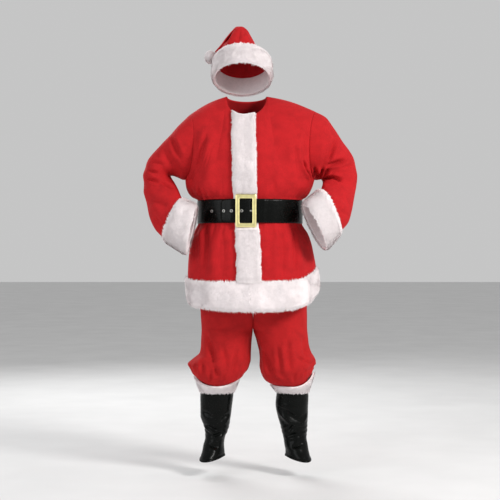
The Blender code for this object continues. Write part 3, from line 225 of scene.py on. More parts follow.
# Boot tops: height of the ring's middle, both edges seen from in front, centre, depth front and back,
# and how far the front drops below the middle
BOOT_COLUMNS = ("z", "outer", "inner", "centre_y", "front", "back", "drop")
BOOTS = {
    -1: (
        (0.342, -0.203, -0.067, 0.000, 0.066, 0.064, 0.000),
        (0.290, -0.204, -0.072, 0.001, 0.064, 0.064, 0.000),
        (0.240, -0.203, -0.079, 0.003, 0.060, 0.063, 0.000),
        (0.205, -0.192, -0.084, 0.005, 0.056, 0.058, 0.002),
        (0.180, -0.186, -0.090, 0.006, 0.053, 0.052, 0.004),
        (0.150, -0.184, -0.102, 0.004, 0.052, 0.046, 0.006),
        (0.122, -0.190, -0.106, -0.002, 0.062, 0.046, 0.010),
        (0.096, -0.192, -0.104, -0.006, 0.082, 0.048, 0.012),
        (0.078, -0.194, -0.102, -0.010, 0.096, 0.052, 0.014),
    ),
    1: (
        (0.342, 0.239, 0.110, 0.000, 0.064, 0.062, 0.000),
        (0.290, 0.238, 0.104, 0.001, 0.064, 0.064, 0.000),
        (0.240, 0.237, 0.114, 0.003, 0.060, 0.063, 0.000),
        (0.205, 0.236, 0.124, 0.005, 0.057, 0.058, 0.002),
        (0.180, 0.235, 0.129, 0.006, 0.054, 0.052, 0.004),
        (0.150, 0.232, 0.136, 0.004, 0.052, 0.046, 0.006),
        (0.122, 0.236, 0.140, -0.002, 0.062, 0.046, 0.010),
        (0.096, 0.237, 0.145, -0.006, 0.082, 0.048, 0.012),
        (0.078, 0.239, 0.143, -0.010, 0.096, 0.052, 0.014),
    ),
}
TOE_OUT = math.radians(24)
TOE_OUT_STARTS = 0.17

# How high the plush stands over each boot top: at its inner side, front, outer side and back
BOOT_RIM = {-1: (0.054, 0.026, 0.058, 0.040), 1: (0.025, 0.024, 0.074, 0.042)}
RIM_LEVEL = 0.036
RIM_ROUNDNESS = 1.5
# How far the trouser leg follows that rim: height, share
RIM_FOLLOWED = (
    (0.352, 0.9),
    (0.372, 1.0),
    (0.392, 1.0),
    (0.406, 0.75),
    (0.425, 0.45),
    (0.447, 0.2),
    (0.468, 0.0),
)

# Boot-top plush: rise above the boot top where the rim is level, spread past the boot, pile
BOOT_CUFF = ((0.0, 0.000, 0.004), (0.010, 0.003, 0.010), (0.024, 0.009, 0.013), (0.036, 0.019, 0.008))

# Hat: the band's ring, then the crown's rings by their right and left ends, centre and half depth
HAT_CENTRE = (-0.032, 0.004, 1.655)
HAT_TILT = math.radians(27)
HAT_HALF_WIDTH = 0.113
HAT_HALF_DEPTH = 0.116
HAT_BAND_HEIGHT = 0.084
HAT_PILE = 0.020
CROWN = (
    (0.029, 1.755, -0.120, 1.742, 0.040, 0.106),
    (0.013, 1.784, -0.107, 1.768, 0.042, 0.092),
    (0.001, 1.807, -0.094, 1.785, 0.043, 0.077),
    (-0.012, 1.826, -0.085, 1.796, 0.043, 0.062),
    (-0.034, 1.841, -0.079, 1.801, 0.044, 0.050),
    (-0.053, 1.842, -0.079, 1.801, 0.046, 0.042),
    (-0.073, 1.826, -0.086, 1.794, 0.050, 0.036),
    (-0.097, 1.799, -0.100, 1.775, 0.055, 0.030),
    (-0.121, 1.769, -0.116, 1.751, 0.060, 0.022),
    (-0.146, 1.742, -0.138, 1.732, 0.064, 0.0075),
)

# Folds of the body: degrees from the front at the top and at the foot, both heights above the floor, width
# in degrees and outward height
JACKET_FOLDS = (
    (-58, -52, 1.42, 1.14, 9, 0.010),
    (-40, -44, 1.40, 1.13, 7, 0.007),
    (-76, -66, 1.30, 1.14, 8, 0.008),
    (52, 60, 1.38, 1.14, 9, 0.008),
    (36, 34, 1.30, 1.14, 8, 0.004),
    (-34, -38, 1.02, 0.62, 6, 0.007),
    (-62, -68, 1.02, 0.62, 8, 0.008),
    (32, 36, 1.02, 0.62, 7, 0.006),
    (48, 56, 1.02, 0.62, 6, 0.006),
    (78, 84, 1.02, 0.62, 8, 0.007),
    (-105, -108, 1.02, 0.62, 9, 0.008),
    (-140, -144, 1.02, 0.62, 9, 0.009),
    (176, 178, 1.02, 0.62, 10, 0.009),
    (140, 146, 1.02, 0.62, 9, 0.008),
    (108, 112, 1.02, 0.62, 9, 0.008),
    (-150, -140, 1.38, 1.14, 10, 0.007),
    (150, 142, 1.38, 1.14, 10, 0.007),
    (180, 180, 1.34, 1.14, 9, 0.006),
)
# Sleeve creases: ring, degrees round it and length in degrees, width in rings, outward height, slant
SLEEVE_CREASES = {
    -1: (
        (4.2, 150, 60, 0.45, -0.009, 0.3),
        (5.4, 160, 75, 0.45, -0.010, -0.2),
        (6.8, 120, 55, 0.5, -0.006, 0.4),
        (1.6, 80, 60, 0.7, -0.007, 0.8),
        (5.0, 230, 70, 0.5, -0.008, 0.2),
        (7.4, 240, 60, 0.6, -0.006, -0.3),
    ),
    1: (
        (4.4, 130, 60, 0.45, -0.009, -0.3),
        (5.9, 110, 55, 0.45, -0.010, 0.2),
        (3.0, 100, 55, 0.5, -0.007, 0.6),
        (1.4, 60, 45, 0.7, -0.008, 0.8),
        (5.0, 230, 70, 0.5, -0.008, -0.2),
        (7.4, 240, 60, 0.6, -0.006, 0.3),
    ),
}
# Leg folds, in the body's columns, by degrees round the leg from its front
LEG_FOLDS = {
    -1: (
        (-38, -10, 0.56, 0.40, 10, -0.009),
        (-70, -62, 0.50, 0.41, 9, -0.008),
        (30, 22, 0.62, 0.41, 14, 0.006),
        (74, 60, 0.60, 0.42, 12, -0.007),
        (150, 160, 0.58, 0.40, 14, -0.008),
        (-140, -150, 0.58, 0.40, 14, -0.008),
    ),
    1: (
        (-50, -20, 0.52, 0.40, 10, -0.009),
        (24, 12, 0.62, 0.41, 14, 0.006),
        (64, 50, 0.50, 0.41, 9, -0.008),
        (-78, -66, 0.60, 0.42, 12, -0.007),
        (150, 160, 0.58, 0.40, 14, -0.008),
        (-140, -150, 0.58, 0.40, 14, -0.008),
    ),
}


# Creases drawn as seen from in front, in millimetres: both ends, width, and outward height, which is below
# zero in a trough
JACKET_FRONT_LINES = (
    (-222, 1420, -224, 1120, 30, -7),
    (-250, 1372, -246, 1150, 10, -6),
    (-226, 1300, -236, 1160, 9, -3.5),
    (-172, 1380, -214, 1225, 16, -7.5),
    (-148, 1340, -190, 1190, 12, -3.5),
    (-203, 1172, -192, 1112, 6, -5.5),
    (-176, 1168, -168, 1116, 6, -3),
    (226, 1400, 214, 1262, 11, -5.5),
    (212, 1275, 222, 1232, 6, -9.5),
    (220, 1238, 246, 1204, 6, -11),
    (205, 1250, 232, 1212, 8, 3),
    (176, 1330, 196, 1180, 14, -2.5),
    (85, 1210, 108, 1120, 12, -2),
    (-212, 1020, -212, 840, 10, -3.4),
    (-174, 1020, -176, 830, 11, -3.8),
    (-110, 1010, -112, 810, 13, -2.8),
    (122, 1010, 126, 810, 12, -4),
    (172, 1010, 178, 830, 10, -4.5),
)
JACKET_BACK_LINES = (
    (-205, 1380, -232, 1180, 12, -6),
    (210, 1390, 235, 1180, 12, -5.5),
    (-120, 1330, -150, 1150, 14, -4),
    (130, 1340, 160, 1150, 13, -4.5),
    (-30, 1260, -22, 1135, 12, -3.5),
    (52, 1240, 60, 1135, 10, -3),
    (-180, 1015, -190, 830, 11, -5),
    (-95, 1015, -100, 820, 11, -4.5),
    (20, 1010, 24, 810, 13, -4),
    (112, 1015, 118, 830, 11, -5),
    (186, 1015, 198, 840, 10, -4.5),
)
SLEEVE_LINES = {
    -1: (
        (-320, 1385, -279, 1278, 9, -5.5),
        (-416, 1243, -374, 1228, 6, -6),
        (-424, 1207, -364, 1194, 6, -6.5),
        (-364, 1194, -305, 1164, 5, -6),
        (-395, 1120, -330, 1090, 14, -3.5),
        (-380, 1050, -345, 1010, 12, -4),
        (-352, 1330, -310, 1250, 12, -3),
        (-400, 1275, -350, 1262, 8, -3),
    ),
    1: (
        (296, 1203, 334, 1213, 6, -9),
        (326, 1214, 368, 1202, 6, -8),
        (312, 1257, 390, 1283, 7, -9),
        (370, 1252, 428, 1261, 7, -4),
        (318, 1278, 346, 1368, 9, -6.5),
        (272, 1208, 298, 1240, 6, -11),
        (297, 1216, 318, 1242, 6, -9),
        (258, 1250, 272, 1206, 8, -8),
        (345, 1140, 392, 1120, 13, -2.5),
        (355, 1080, 398, 1050, 14, -3),
    ),
}
SLEEVE_BACK_LINES = {
    -1: (
        (-300, 1360, -340, 1250, 10, -4.5),
        (-430, 1220, -360, 1225, 8, -6),
        (-425, 1180, -345, 1160, 9, -5),
        (-400, 1110, -330, 1120, 10, -4),
    ),
    1: (
        (310, 1370, 345, 1260, 10, -4.5),
        (428, 1235, 360, 1235, 8, -6),
        (425, 1190, 345, 1170, 9, -5),
        (412, 1120, 350, 1130, 10, -4),
    ),
}
LEG_LINES = {
    -1: (
        (-173, 577, -145, 456, 8, -6),
        (-145, 456, -125, 412, 6, -5.5),
        (-197, 476, -189, 415, 6, -5.5),
        (-225, 470, -215, 415, 6, -4),
        (-110, 540, -90, 425, 9, -4),
        (-50, 520, -75, 405, 8, -5),
        (-160, 420, -155, 392, 4, -4),
        (-105, 425, -110, 390, 4, -4),
    ),
    1: (
        (52, 510, 90, 403, 8, -6),
        (88, 405, 133, 384, 6, -4.5),
        (185, 488, 250, 458, 7, -5.5),
        (150, 560, 160, 430, 10, -4),
        (110, 540, 125, 420, 8, -4),
        (215, 570, 226, 480, 9, -4),
        (180, 430, 178, 395, 4, -4),
        (222, 440, 216, 400, 4, -4),
    ),
}
LEG_BACK_LINES = {
    -1: (
        (-150, 590, -165, 430, 10, -5.5),
        (-80, 570, -95, 420, 9, -5),
        (-210, 480, -190, 410, 6, -5),
        (-120, 430, -125, 392, 4, -4),
    ),
    1: (
        (170, 590, 175, 430, 10, -5.5),
        (100, 570, 120, 420, 9, -5),
        (235, 480, 215, 410, 6, -5),
        (145, 430, 150, 392, 4, -4),
    ),
}
BOOT_LINES = {
    -1: (
        (-184, 206, -136, 184, 7, -2.6),
        (-184, 195, -140, 174, 6, 2.2),
        (-150, 160, -112, 176, 6, -3.5),
        (-190, 262, -150, 238, 9, -3),
        (-88, 252, -122, 222, 8, -3),
        (-165, 128, -128, 118, 8, -3),
    ),
    1: (
        (112, 282, 212, 218, 12, -3.4),
        (128, 250, 172, 208, 9, 2.6),
        (178, 206, 156, 184, 7, -3),
        (232, 250, 218, 212, 8, 1.8),
        (150, 160, 196, 170, 7, -3.5),
        (170, 120, 212, 130, 8, -3),
    ),
}
HAT_LINES = (
    (-70, 1818, -104, 1762, 6, -5),
    (-6, 1815, 16, 1770, 10, -3.5),
    (-38, 1820, -50, 1765, 12, -4),
    (-20, 1828, -26, 1790, 7, -2),
)


# The heights over which a fold starts and ends
FOLD_STARTS_OVER = 0.05
FOLD_ENDS_OVER = 0.03
# A crease's profile: a broad trough with a sharp one in it, and a ridge on both sides, by shares of its
# height and width; the sharp one has a least width, and all of it widens along the crease
CREASE_STRENGTH = 1.6
CREASE_TROUGH = 0.55
CREASE_CUT = 0.6
CREASE_CUT_WIDTH = 0.42
CREASE_CORE = 0.0035
CREASE_RIDGE = 0.45
CREASE_RIDGE_AWAY = 1.9
CREASE_BOW = 0.028
CREASE_TAPER = 0.85
CREASE_STARTS_AT = 0.7
CREASE_WIDENS_BY = 0.5
# Seams: depth, width, the ridge beside them, and the share of the depth on the body and on the crown
SEAM_DIP = 0.0018
SEAM_DIP_WIDTH = 0.0055
SEAM_RIDGE = 0.3
SEAM_RIDGE_AWAY = 2.3
BODY_DIP = 0.2
CROWN_DIP = 0.8
# Unevenness that no cloth is without, by piece
BODY_UNEVEN = 0.0012
SLEEVE_UNEVEN = 0.0014
LEG_UNEVEN = 0.0022
BOOT_UNEVEN = 0.0016
CROWN_UNEVEN = 0.0024

# Gathers: how many go round, height, start; then the height and reach of each set in metres or rings
CUFF_GATHERS = ((17, 1.0, 0.0), (29, 0.7, 1.9))
CUFF_GATHER_HEIGHT = 0.0013
CUFF_GATHER_REACH = 0.55
CROWN_GATHERS = ((11, 1.0, 0.8), (19, 0.7, 2.1))
CROWN_GATHER_HEIGHT = 0.0016
BELT_GATHER_HEIGHT = 0.0016
BELT_GATHER_REACH = 0.055
LEG_PLEAT_HEIGHT = 0.0019
LEG_PLEAT_REACH = 0.045
WAIST_GATHER_HEIGHT = 0.0009
# Where they start: this far above and below the belt's middle, at the leg's mouth and at the boot's plush
BELT_HOLDS = 0.046
LEG_MOUTH = 0.352
BOOT_PLUSH_STARTS = 0.348
# How much of their height the sleeves' creases keep
SLEEVE_CREASE_SHARE = 0.8

# Boot tops: the back seam, the ankle's wrinkles, and the rolled foot edge by height, width and depth
BACK_SEAM_DEPTH = 0.0013
BACK_SEAM_WIDTH = 0.05
ANKLE_HEIGHT = 0.185
ANKLE_REACH = 0.03
ANKLE_WRINKLE = 0.0008
ANKLE_WRINKLES = 330
BOOT_FOOT_ROLL = ((0.004, 0.003, 0.0009), (0.010, 0.0022, -0.0011))

# Plush: how full the pile is across a band, and how much of it the backing fills
PILE_RISE = ((0.0, 0.30), (0.06, 0.70), (0.18, 0.96), (0.5, 1.0), (0.82, 0.96), (0.94, 0.70), (1.0, 0.30))
PLUSH_CORE = 0.55
# Its lumps: height, the pile from which they are full, and sizes with their shares; then the hat's clumps
PLUSH_LUMPS = 0.0016
PLUSH_LUMPY_FROM = 0.012
PLUSH_LUMP_SIZES = ((0.026, 0.9), (0.012, 0.5))
HAT_CLUMPS = 0.26
HAT_CLUMP_SIZE = 0.017
HAT_CLUMPS_SINK = 0.25
# Tufts: width, how flat they lie, the sizes and shares of the swirls that turn them, and their spread
TUFT_WIDTH = 0.0027
TUFT_LAID = 0.88
TUFT_SWIRLS = ((0.024, 0.9), (0.055, 0.8))
TUFT_SWIRL_SPREAD = 0.3
TUFT_RISE_SPREAD = 0.08
# Shares of a tuft's usual length and width, its width at the root and in the middle, and its root's depth
TUFT_LENGTHS = (0.7, 1.2)
TUFT_WIDTHS = (0.7, 1.25)
TUFT_FOOT = 0.5
TUFT_WAIST = 0.42
TUFT_ROOTED = 0.0008
TUFT_POINTS = 5
# Beside something that presses on the pile: the shortest tufts, and where there are none
TUFT_PRESSED = 0.4
TUFT_GONE = 0.02
# The fringe: the share of a band that it takes, the share of its tufts that are long, how much longer those
# and the others are, and how much is trimmed off where it isn't fuzzy
FRINGE_SHARE = 0.12
FRINGE_LONG_ONES = 0.22
FRINGE_LONGER = (0.55, 0.05)
FRINGE_TRIMMED = 0.45
# How far the backing stays inside the plush edges, where the fringe reaches them
HEM_INSET = 0.11
CUFF_INSET = 0.03
BAND_INSET = 0.006
HEM_ROWS = 26
# The front band: how far it stands off the fronts, there and at the yoke, how deep it is under the belt,
# and the heights at which its skirt and its yoke start
BAND_COLUMNS = 21
BAND_LIFT = 0.0008
BAND_YOKE_LIFT = 0.0022
BAND_PRESSED = 0.0032
BAND_SKIRT_STARTS = 1.0
BAND_YOKE_STARTS = 1.19
# Waves of the band's two edges at the skirt: side, height, radians to a metre, start
BAND_WAVES = ((-1, 0.0024, 92, 0.6), (1, 0.0015, 71, 0.0))
# The pompom: the area that its tufts are counted on, their shares of length and of lying flat, its ball and
# its tufts' roots as shares of the radius, and the size and height of its lumps
POMPOM_RADIUS = 0.026
POMPOM_AREA = 0.011
POMPOM_TUFTS = 1.25
POMPOM_LAID = 0.45
POMPOM_BALL = 0.9
POMPOM_ROOTS = 0.88
POMPOM_LUMPS = (0.012, 0.0016)

# Belt: size, how far it clears the jacket, and how far it stands out where it lies on its own start
BELT_WIDTH = 0.095
BELT_THICKNESS = 0.0024
BELT_CLEAR = 0.0005
BELT_LAYER = 0.0031
# It follows the jacket's form just above it, and steps up over the front band
BELT_READS_ABOVE = 0.003
BAND_STEP_STARTS = 1.25
BAND_STEP_WIDTH = 0.024
# Degrees round the body at which it starts, ends and steps up on itself, and its steps on the way
BELT_START = -4.0
BELT_TIP = -389.6
STEP_OVER_STARTS = -300.0
STEP_OVER_ENDS = -352.0
BELT_STEPS = 400
BELT_FRONT_FROM = -333.0
BELT_FRONT_STEPS = 280
# Its section: how much thinner its edges are and how sharply, its thinnest share and its outer face
BELT_SECTION = 15
BELT_WANDER = 0.0005
EDGE_THINNER = 0.3
EDGE_SHARPNESS = 7
THINNEST = 0.35
OUTER_FACE = 0.997
# Its tip: length, the share of the width at the very end, and roundness
TIP_LENGTH = 0.030
TIP_HALF = 0.62
TIP_ROUNDNESS = 2.4
# Eyelets: radius, how far the wire's middle stands off the strap, and the wire's half width and height
EYELET_RADIUS = 0.0045
EYELET_DEPTH = 0.0014
EYELET_RING = (0.0016, 0.0009)
EYELET_SIDES = 40
EYELET_RING_SIDES = 14
# Each eyelet, by degrees round the body
EYELETS = (
    ("belt_eyelet_1", -366.7),
    ("belt_eyelet_2", -376.7),
    ("belt_eyelet_3", -385.6),
    ("belt_eyelet_4", -42.1),
)
# The strap's creases: distance from the tip, width, height, slant
BELT_CREASES = (
    (0.098, 0.0035, -0.0007, 0.002),
    (0.112, 0.0028, -0.0006, -0.002),
    (0.127, 0.0036, -0.0007, 0.001),
    (0.190, 0.0040, -0.0005, 0.004),
    (0.248, 0.0050, -0.0005, -0.004),
    (0.0035, 0.0016, 0.0011, 0.0),
    (0.107, 0.0030, 0.0009, 0.002),
    (0.114, 0.0028, -0.0012, 0.001),
    (0.122, 0.0022, 0.0013, -0.003),
    (0.178, 0.0110, 0.0022, 0.002),
)
# The buckle's frame
BUCKLE_WIDTH = 0.083
BUCKLE_HEIGHT = 0.130
BUCKLE_REACH = BUCKLE_HEIGHT / 2
BUCKLE_BAR = 0.0165
BUCKLE_DEPTH = 0.005
# Degrees between which the buckle lies on the strap, and how many places are tried
BUCKLE_SPREAD = (-16, 8, 13)
BUCKLE_OUTER_CORNER = 0.0055
BUCKLE_INNER_CORNER = 0.0035
CORNER_POINTS = 7
SIDE_POINTS = (0.03, 0.12, 0.35, 0.65, 0.88, 0.97)
# The stud: along from the bar, half height
STUD = ((0.0003, 0.0026), (0.0006, 0.003), (0.0065, 0.003), (0.0088, 0.0024), (0.0099, 0.0014))
STUD_SIDES = 20
STUD_DEPTH = 0.0009
STUD_SEAT = 0.0012
# Across the buckle's bar: share of the way in, share of its depth
BUCKLE_PROFILE = (
    (0.0, 0.0),
    (0.0, 0.42),
    (0.02, 0.60),
    (0.09, 0.80),
    (0.20, 0.94),
    (0.34, 1.0),
    (0.66, 1.0),
    (0.80, 0.94),
    (0.91, 0.80),
    (0.98, 0.60),
    (1.0, 0.42),
    (1.0, 0.0),
)

# Trousers above the crotch
SEAT_ROWS = (0.602, 0.620, 0.648, 0.690, 0.760, 0.860, 0.960)
WAIST_START = 1.032
WAIST_CENTRE_ANGLE = 3.0
WAIST_CLEAR = 0.0009
WAISTBAND_HEIGHT = 0.035
WAISTBAND_THICKNESS = 0.003
WAISTBAND_ROWS = 9
RISE_HEIGHT = 0.13
CROTCH_Z = 0.59
LEG_SQUARENESS = 0.9
SEAT_ROUNDNESS = 2.4
BOOT_PLUSH_ROWS = 14
HAT_BAND_ROWS = 24


# Curves through tables

def smooth_slopes(keys, values):
    """Slopes of curves that never overshoot their points."""
    steps = np.diff(keys).reshape((-1,) + (1,) * (values.ndim - 1))
    rises = np.diff(values, axis=0) / steps
    slopes = np.zeros_like(values)
    slopes[0], slopes[-1] = rises[0], rises[-1]
    before, after = 2 * steps[1:] + steps[:-1], steps[1:] + 2 * steps[:-1]
    level = rises[:-1] * rises[1:] <= 0
    safe = np.where(level, 1.0, rises[:-1]), np.where(level, 1.0, rises[1:])
    slopes[1:-1] = np.where(level, 0.0, (before + after) / (before / safe[0] + after / safe[1]))
    return slopes


def curve(keys, values, at):
    """The smooth curve through the points, or through whole rows of points, read at one place or many."""
    keys, values = np.asarray(keys, float), np.asarray(values, float)
    at = np.clip(np.asarray(at, float), keys[0], keys[-1])
    slopes = smooth_slopes(keys, values)
    i = np.clip(np.searchsorted(keys, at, side="right") - 1, 0, len(keys) - 2)
    extra = (1,) * (values.ndim - 1)
    span = (keys[i + 1] - keys[i]).reshape(at.shape + extra)
    t = (at - keys[i]).reshape(at.shape + extra) / span
    return (
        (2 * t**3 - 3 * t**2 + 1) * values[i]
        + (t**3 - 2 * t**2 + t) * span * slopes[i]
        + (3 * t**2 - 2 * t**3) * values[i + 1]
        + (t**3 - t**2) * span * slopes[i + 1]
    )


def read(columns, table, name, at):
    """A named column of a table, read smoothly at a value of the table's first column."""
    keys, values = ([row[columns.index(wanted)] for row in table] for wanted in (columns[0], name))
    if keys[0] > keys[-1]:
        keys, values = keys[::-1], values[::-1]
    return curve(keys, values, at)


def row_at(columns, table, at):
    """A whole row of a table by its columns' names, read smoothly at a value of the first column."""
    return {name: float(read(columns, table, name, at)) for name in columns}


def bump(distance, width):
    """A smooth hump: 1 in the middle and 0 at twice the width."""
    near = np.clip(1 - (distance / (2 * width)) ** 2, 0, 1)
    return near**2


def bell(away, width):
    """A smooth hump that never quite ends: 1 in the middle, and about a third at the width."""
    return np.exp(-((away / width) ** 2))


def gathers(turn, rows):
    """Waves round a ring, from rows of how many go round, their height and their start."""
    return sum(height * np.sin(turn * count + start) for count, height, start in rows)


def facing(normals, face):
    """1 where cloth faces the front (face -1) or the back (face 1), and 0 where it is turned away."""
    return np.clip(face * normals[..., 1] * 3, 0, 1)


def power(value, exponent):
    return np.sign(value) * np.abs(value) ** exponent


def unit(vectors):
    return vectors / np.maximum(np.linalg.norm(vectors, axis=-1, keepdims=True), 1e-12)


def once_round(count):
    """Evenly spaced angles once round, in radians."""
    return np.linspace(0, 2 * math.pi, count, endpoint=False)


def joined(*parts):
    """Points, or the corners of faces, from their separate values."""
    return np.stack(np.broadcast_arrays(*parts), axis=-1)


def level_outward(along):
    """Level directions that point out of the body, square to steps round it."""
    return unit(np.stack((along[:, 1], -along[:, 0], np.zeros(len(along))), axis=-1))


def angle_apart(a, b):
    return (a - b + 180) % 360 - 180


def refine_rows(grid, count):
    """A grid with count rows, smooth through the given rows and evenly spaced along the middle column."""
    travel = np.linalg.norm(np.diff(grid, axis=0), axis=-1).mean(axis=1)
    keys = np.concatenate(((0.0,), np.cumsum(travel)))
    at = np.linspace(0, keys[-1], count)
    return curve(keys, grid, at), curve(keys, np.arange(len(grid), dtype=float), at)


# Reliefs of cloth

def fold_height(folds, angle, z):
    """How far the folds that run down the cloth stand out at an angle and a height."""
    total = np.zeros(np.broadcast(angle, z).shape)
    for angle_top, angle_foot, z_top, z_foot, width, height in folds:
        down = np.clip((z_top - z) / (z_top - z_foot), 0, 1)
        middle = angle_top + (angle_foot - angle_top) * down
        fade = np.clip((z_top - z) / FOLD_STARTS_OVER, 0, 1) * np.clip((z - z_foot) / FOLD_ENDS_OVER, 0, 1)
        total += height * bump(angle_apart(angle, middle), width) * fade
    return total


def crease_depth(creases, along, around):
    """How far the sleeve's creases sink at a place along it and an angle round it."""
    total = np.zeros(np.broadcast(along, around).shape)
    for ring, angle, length, width, height, slant in creases:
        across = angle_apart(around, angle) / length
        total += height * bump(along - ring - slant * across, width) * bump(across, 0.6)
    return total


def line_relief(points, normals, face, lines):
    """Creases along lines seen from in front, on the cloth that faces the front or the back."""
    x, z = points[..., 0], points[..., 2]
    total = np.zeros(x.shape)
    for line in lines:
        start_x, start_z, end_x, end_z, width, height = (value / 1000 for value in line)
        run_x, run_z = end_x - start_x, end_z - start_z
        along = ((x - start_x) * run_x + (z - start_z) * run_z) / (run_x**2 + run_z**2)
        on_line = np.clip(along, 0, 1)
        away = np.hypot(x - start_x - run_x * on_line, z - start_z - run_z * on_line)
        away = np.abs(away - CREASE_BOW * math.hypot(run_x, run_z) * np.sin(math.pi * on_line))
        taper = 1 - np.abs(2 * on_line - 1) ** 3 * CREASE_TAPER
        width = width * (CREASE_STARTS_AT + CREASE_WIDENS_BY * on_line)
        cut_width = np.maximum(CREASE_CUT_WIDTH * width, CREASE_CORE)
        trough = CREASE_TROUGH * bell(away, width) + CREASE_CUT * bell(away, cut_width)
        ridge = CREASE_RIDGE * bell(away - CREASE_RIDGE_AWAY * width, width)
        total += height * CREASE_STRENGTH * taper * (trough - ridge)
    return total * facing(normals, face)


def soft_unevenness(points, height):
    """Slow, shallow unevenness that no cloth is without."""
    x, y, z = points[..., 0] * 1000, points[..., 1] * 1000, points[..., 2] * 1000
    waves = (
        np.sin(x / 31 + np.sin(z / 47) * 1.7 + 0.4)
        + np.sin(z / 39 + np.sin(y / 36 + 1.1) * 1.5 + np.sin(x / 58))
        + 0.6 * np.sin((x + z) / 17 + np.sin(y / 21) * 1.3)
        + 0.5 * np.sin((y - z) / 13 + 2.0 + np.sin(x / 24) * 1.6)
    )
    return height * waves / 3.1


def edge_distances(points, wrap):
    """How far each point of a grid is from its first and last row and its first and last column."""
    down = np.concatenate((np.zeros((1, points.shape[1])), np.cumsum(row_steps(points), axis=0)))
    across = np.concatenate(
        (np.zeros((points.shape[0], 1)), np.cumsum(row_steps(points.transpose(1, 0, 2)), axis=0).T), axis=1
    )
    far = np.full(points.shape[:2], 9.0)
    return {
        "bottom": down,
        "top": down[-1:] - down,
        "start": far if wrap else across,
        "end": far if wrap else across[:, -1:] - across,
    }


def row_steps(points):
    return np.linalg.norm(np.diff(points, axis=0), axis=-1)


def seam_dip(points, wrap, edges, depth):
    """The cloth rolls down into its seams, and lies in a faint ridge beside them."""
    apart = edge_distances(points, wrap)
    total = np.zeros(points.shape[:2])
    for edge in edges:
        total -= depth * bell(apart[edge], SEAM_DIP_WIDTH)
        ridge = bell(apart[edge] - SEAM_RIDGE_AWAY * SEAM_DIP_WIDTH, SEAM_DIP_WIDTH)
        total += SEAM_RIDGE * depth * ridge
    return total


# Shapes of cloth

def hem_level(name, angle):
    turned = (np.asarray(angle, float) + 180) % 360 - 180
    return read(HEM_COLUMNS, HEM_LEVELS, name, turned)


def skirt_height(base, angle):
    """The true height of a row of the body: level at the belt, and along the hem's seam at the skirt."""
    share = np.clip((HEM_SHIFT_ENDS - base) / (HEM_SHIFT_ENDS - HEM_BASE), 0, 1)
    return base + (hem_level("seam", angle) - HEM_BASE) * share


def torso_point(angle, z):
    """A point of the jacket's body below the armholes, by degrees from the front and height."""
    turn = np.radians(angle)
    half_width = read(TORSO_COLUMNS, TORSO, "half_width", z)
    front = read(TORSO_COLUMNS, TORSO, "front", z)
    back = read(TORSO_COLUMNS, TORSO, "back", z)
    x = read(TORSO_COLUMNS, TORSO, "middle", z) + half_width * power(np.sin(turn), TORSO_SQUARENESS)
    reach = power(np.cos(turn), TORSO_SQUARENESS)
    y = np.where(reach > 0, -front * reach, -back * reach)
    return joined(x, y, z)


def front_edge_at(z):
    return curve(*zip(*FRONT_EDGE), z)


def centre_angle(z):
    """Degrees from the front at which the front closes at a height."""
    half_width = read(TORSO_COLUMNS, TORSO, "half_width", z)
    share = (front_edge_at(z) - read(TORSO_COLUMNS, TORSO, "middle", z)) / half_width
    return np.degrees(np.arcsin(power(share, 1 / TORSO_SQUARENESS)))


def armhole_point(side, face, t):
    """A point of the armhole, by its front or back: t is 0 at the armpit and 1 at the shoulder."""
    hole = ARMHOLES[side]
    turn = math.pi * np.asarray(t, float)
    rise = (1 - np.cos(turn)) / 2
    inset = -side * ARMHOLE_INSET * np.sin(turn)
    depth = ARMHOLE_FRONT if face < 0 else ARMHOLE_BACK
    x = hole["armpit_x"] + (hole["shoulder_x"] - hole["armpit_x"]) * rise + inset
    y = face * depth * power(np.clip(np.sin(turn), 0, 1), ARMHOLE_SQUARENESS)
    z = hole["armpit_z"] + (hole["shoulder_z"] - hole["armpit_z"]) * rise
    return joined(x, y, z)


def top_edge(side, face, u):
    """The top of a quarter of the body: the neckline from the centre, then the shoulder seam."""
    height, reach = (FRONT_CENTRE if face < 0 else BACK_CENTRE)[-1]
    centre = np.array((float(front_edge_at(height)) if face < 0 else NECK_CENTRE_X, reach, height))
    neck_side = np.array((NECK_CENTRE_X + side * NECK_HALF_WIDTH, 0.0, NECK_SIDE_HEIGHT))
    shoulder = armhole_point(side, face, 1.0)
    turn = np.clip(u / NECK_SHARE, 0, 1) * math.pi / 2
    round_neck = np.stack(
        (
            centre[0] + (neck_side[0] - centre[0]) * np.sin(turn),
            neck_side[1] + (centre[1] - neck_side[1]) * np.cos(turn),
            neck_side[2] + (centre[2] - neck_side[2]) * np.cos(turn),
        ),
        axis=-1,
    )
    along = np.clip((u - NECK_SHARE) / (1 - NECK_SHARE), 0, 1)[..., None]
    seam = neck_side + (shoulder - neck_side) * along
    seam[..., 2] += SHOULDER_SEAM_RISE * np.sin(math.pi * along[..., 0])
    return np.where(along > 0, seam, round_neck)


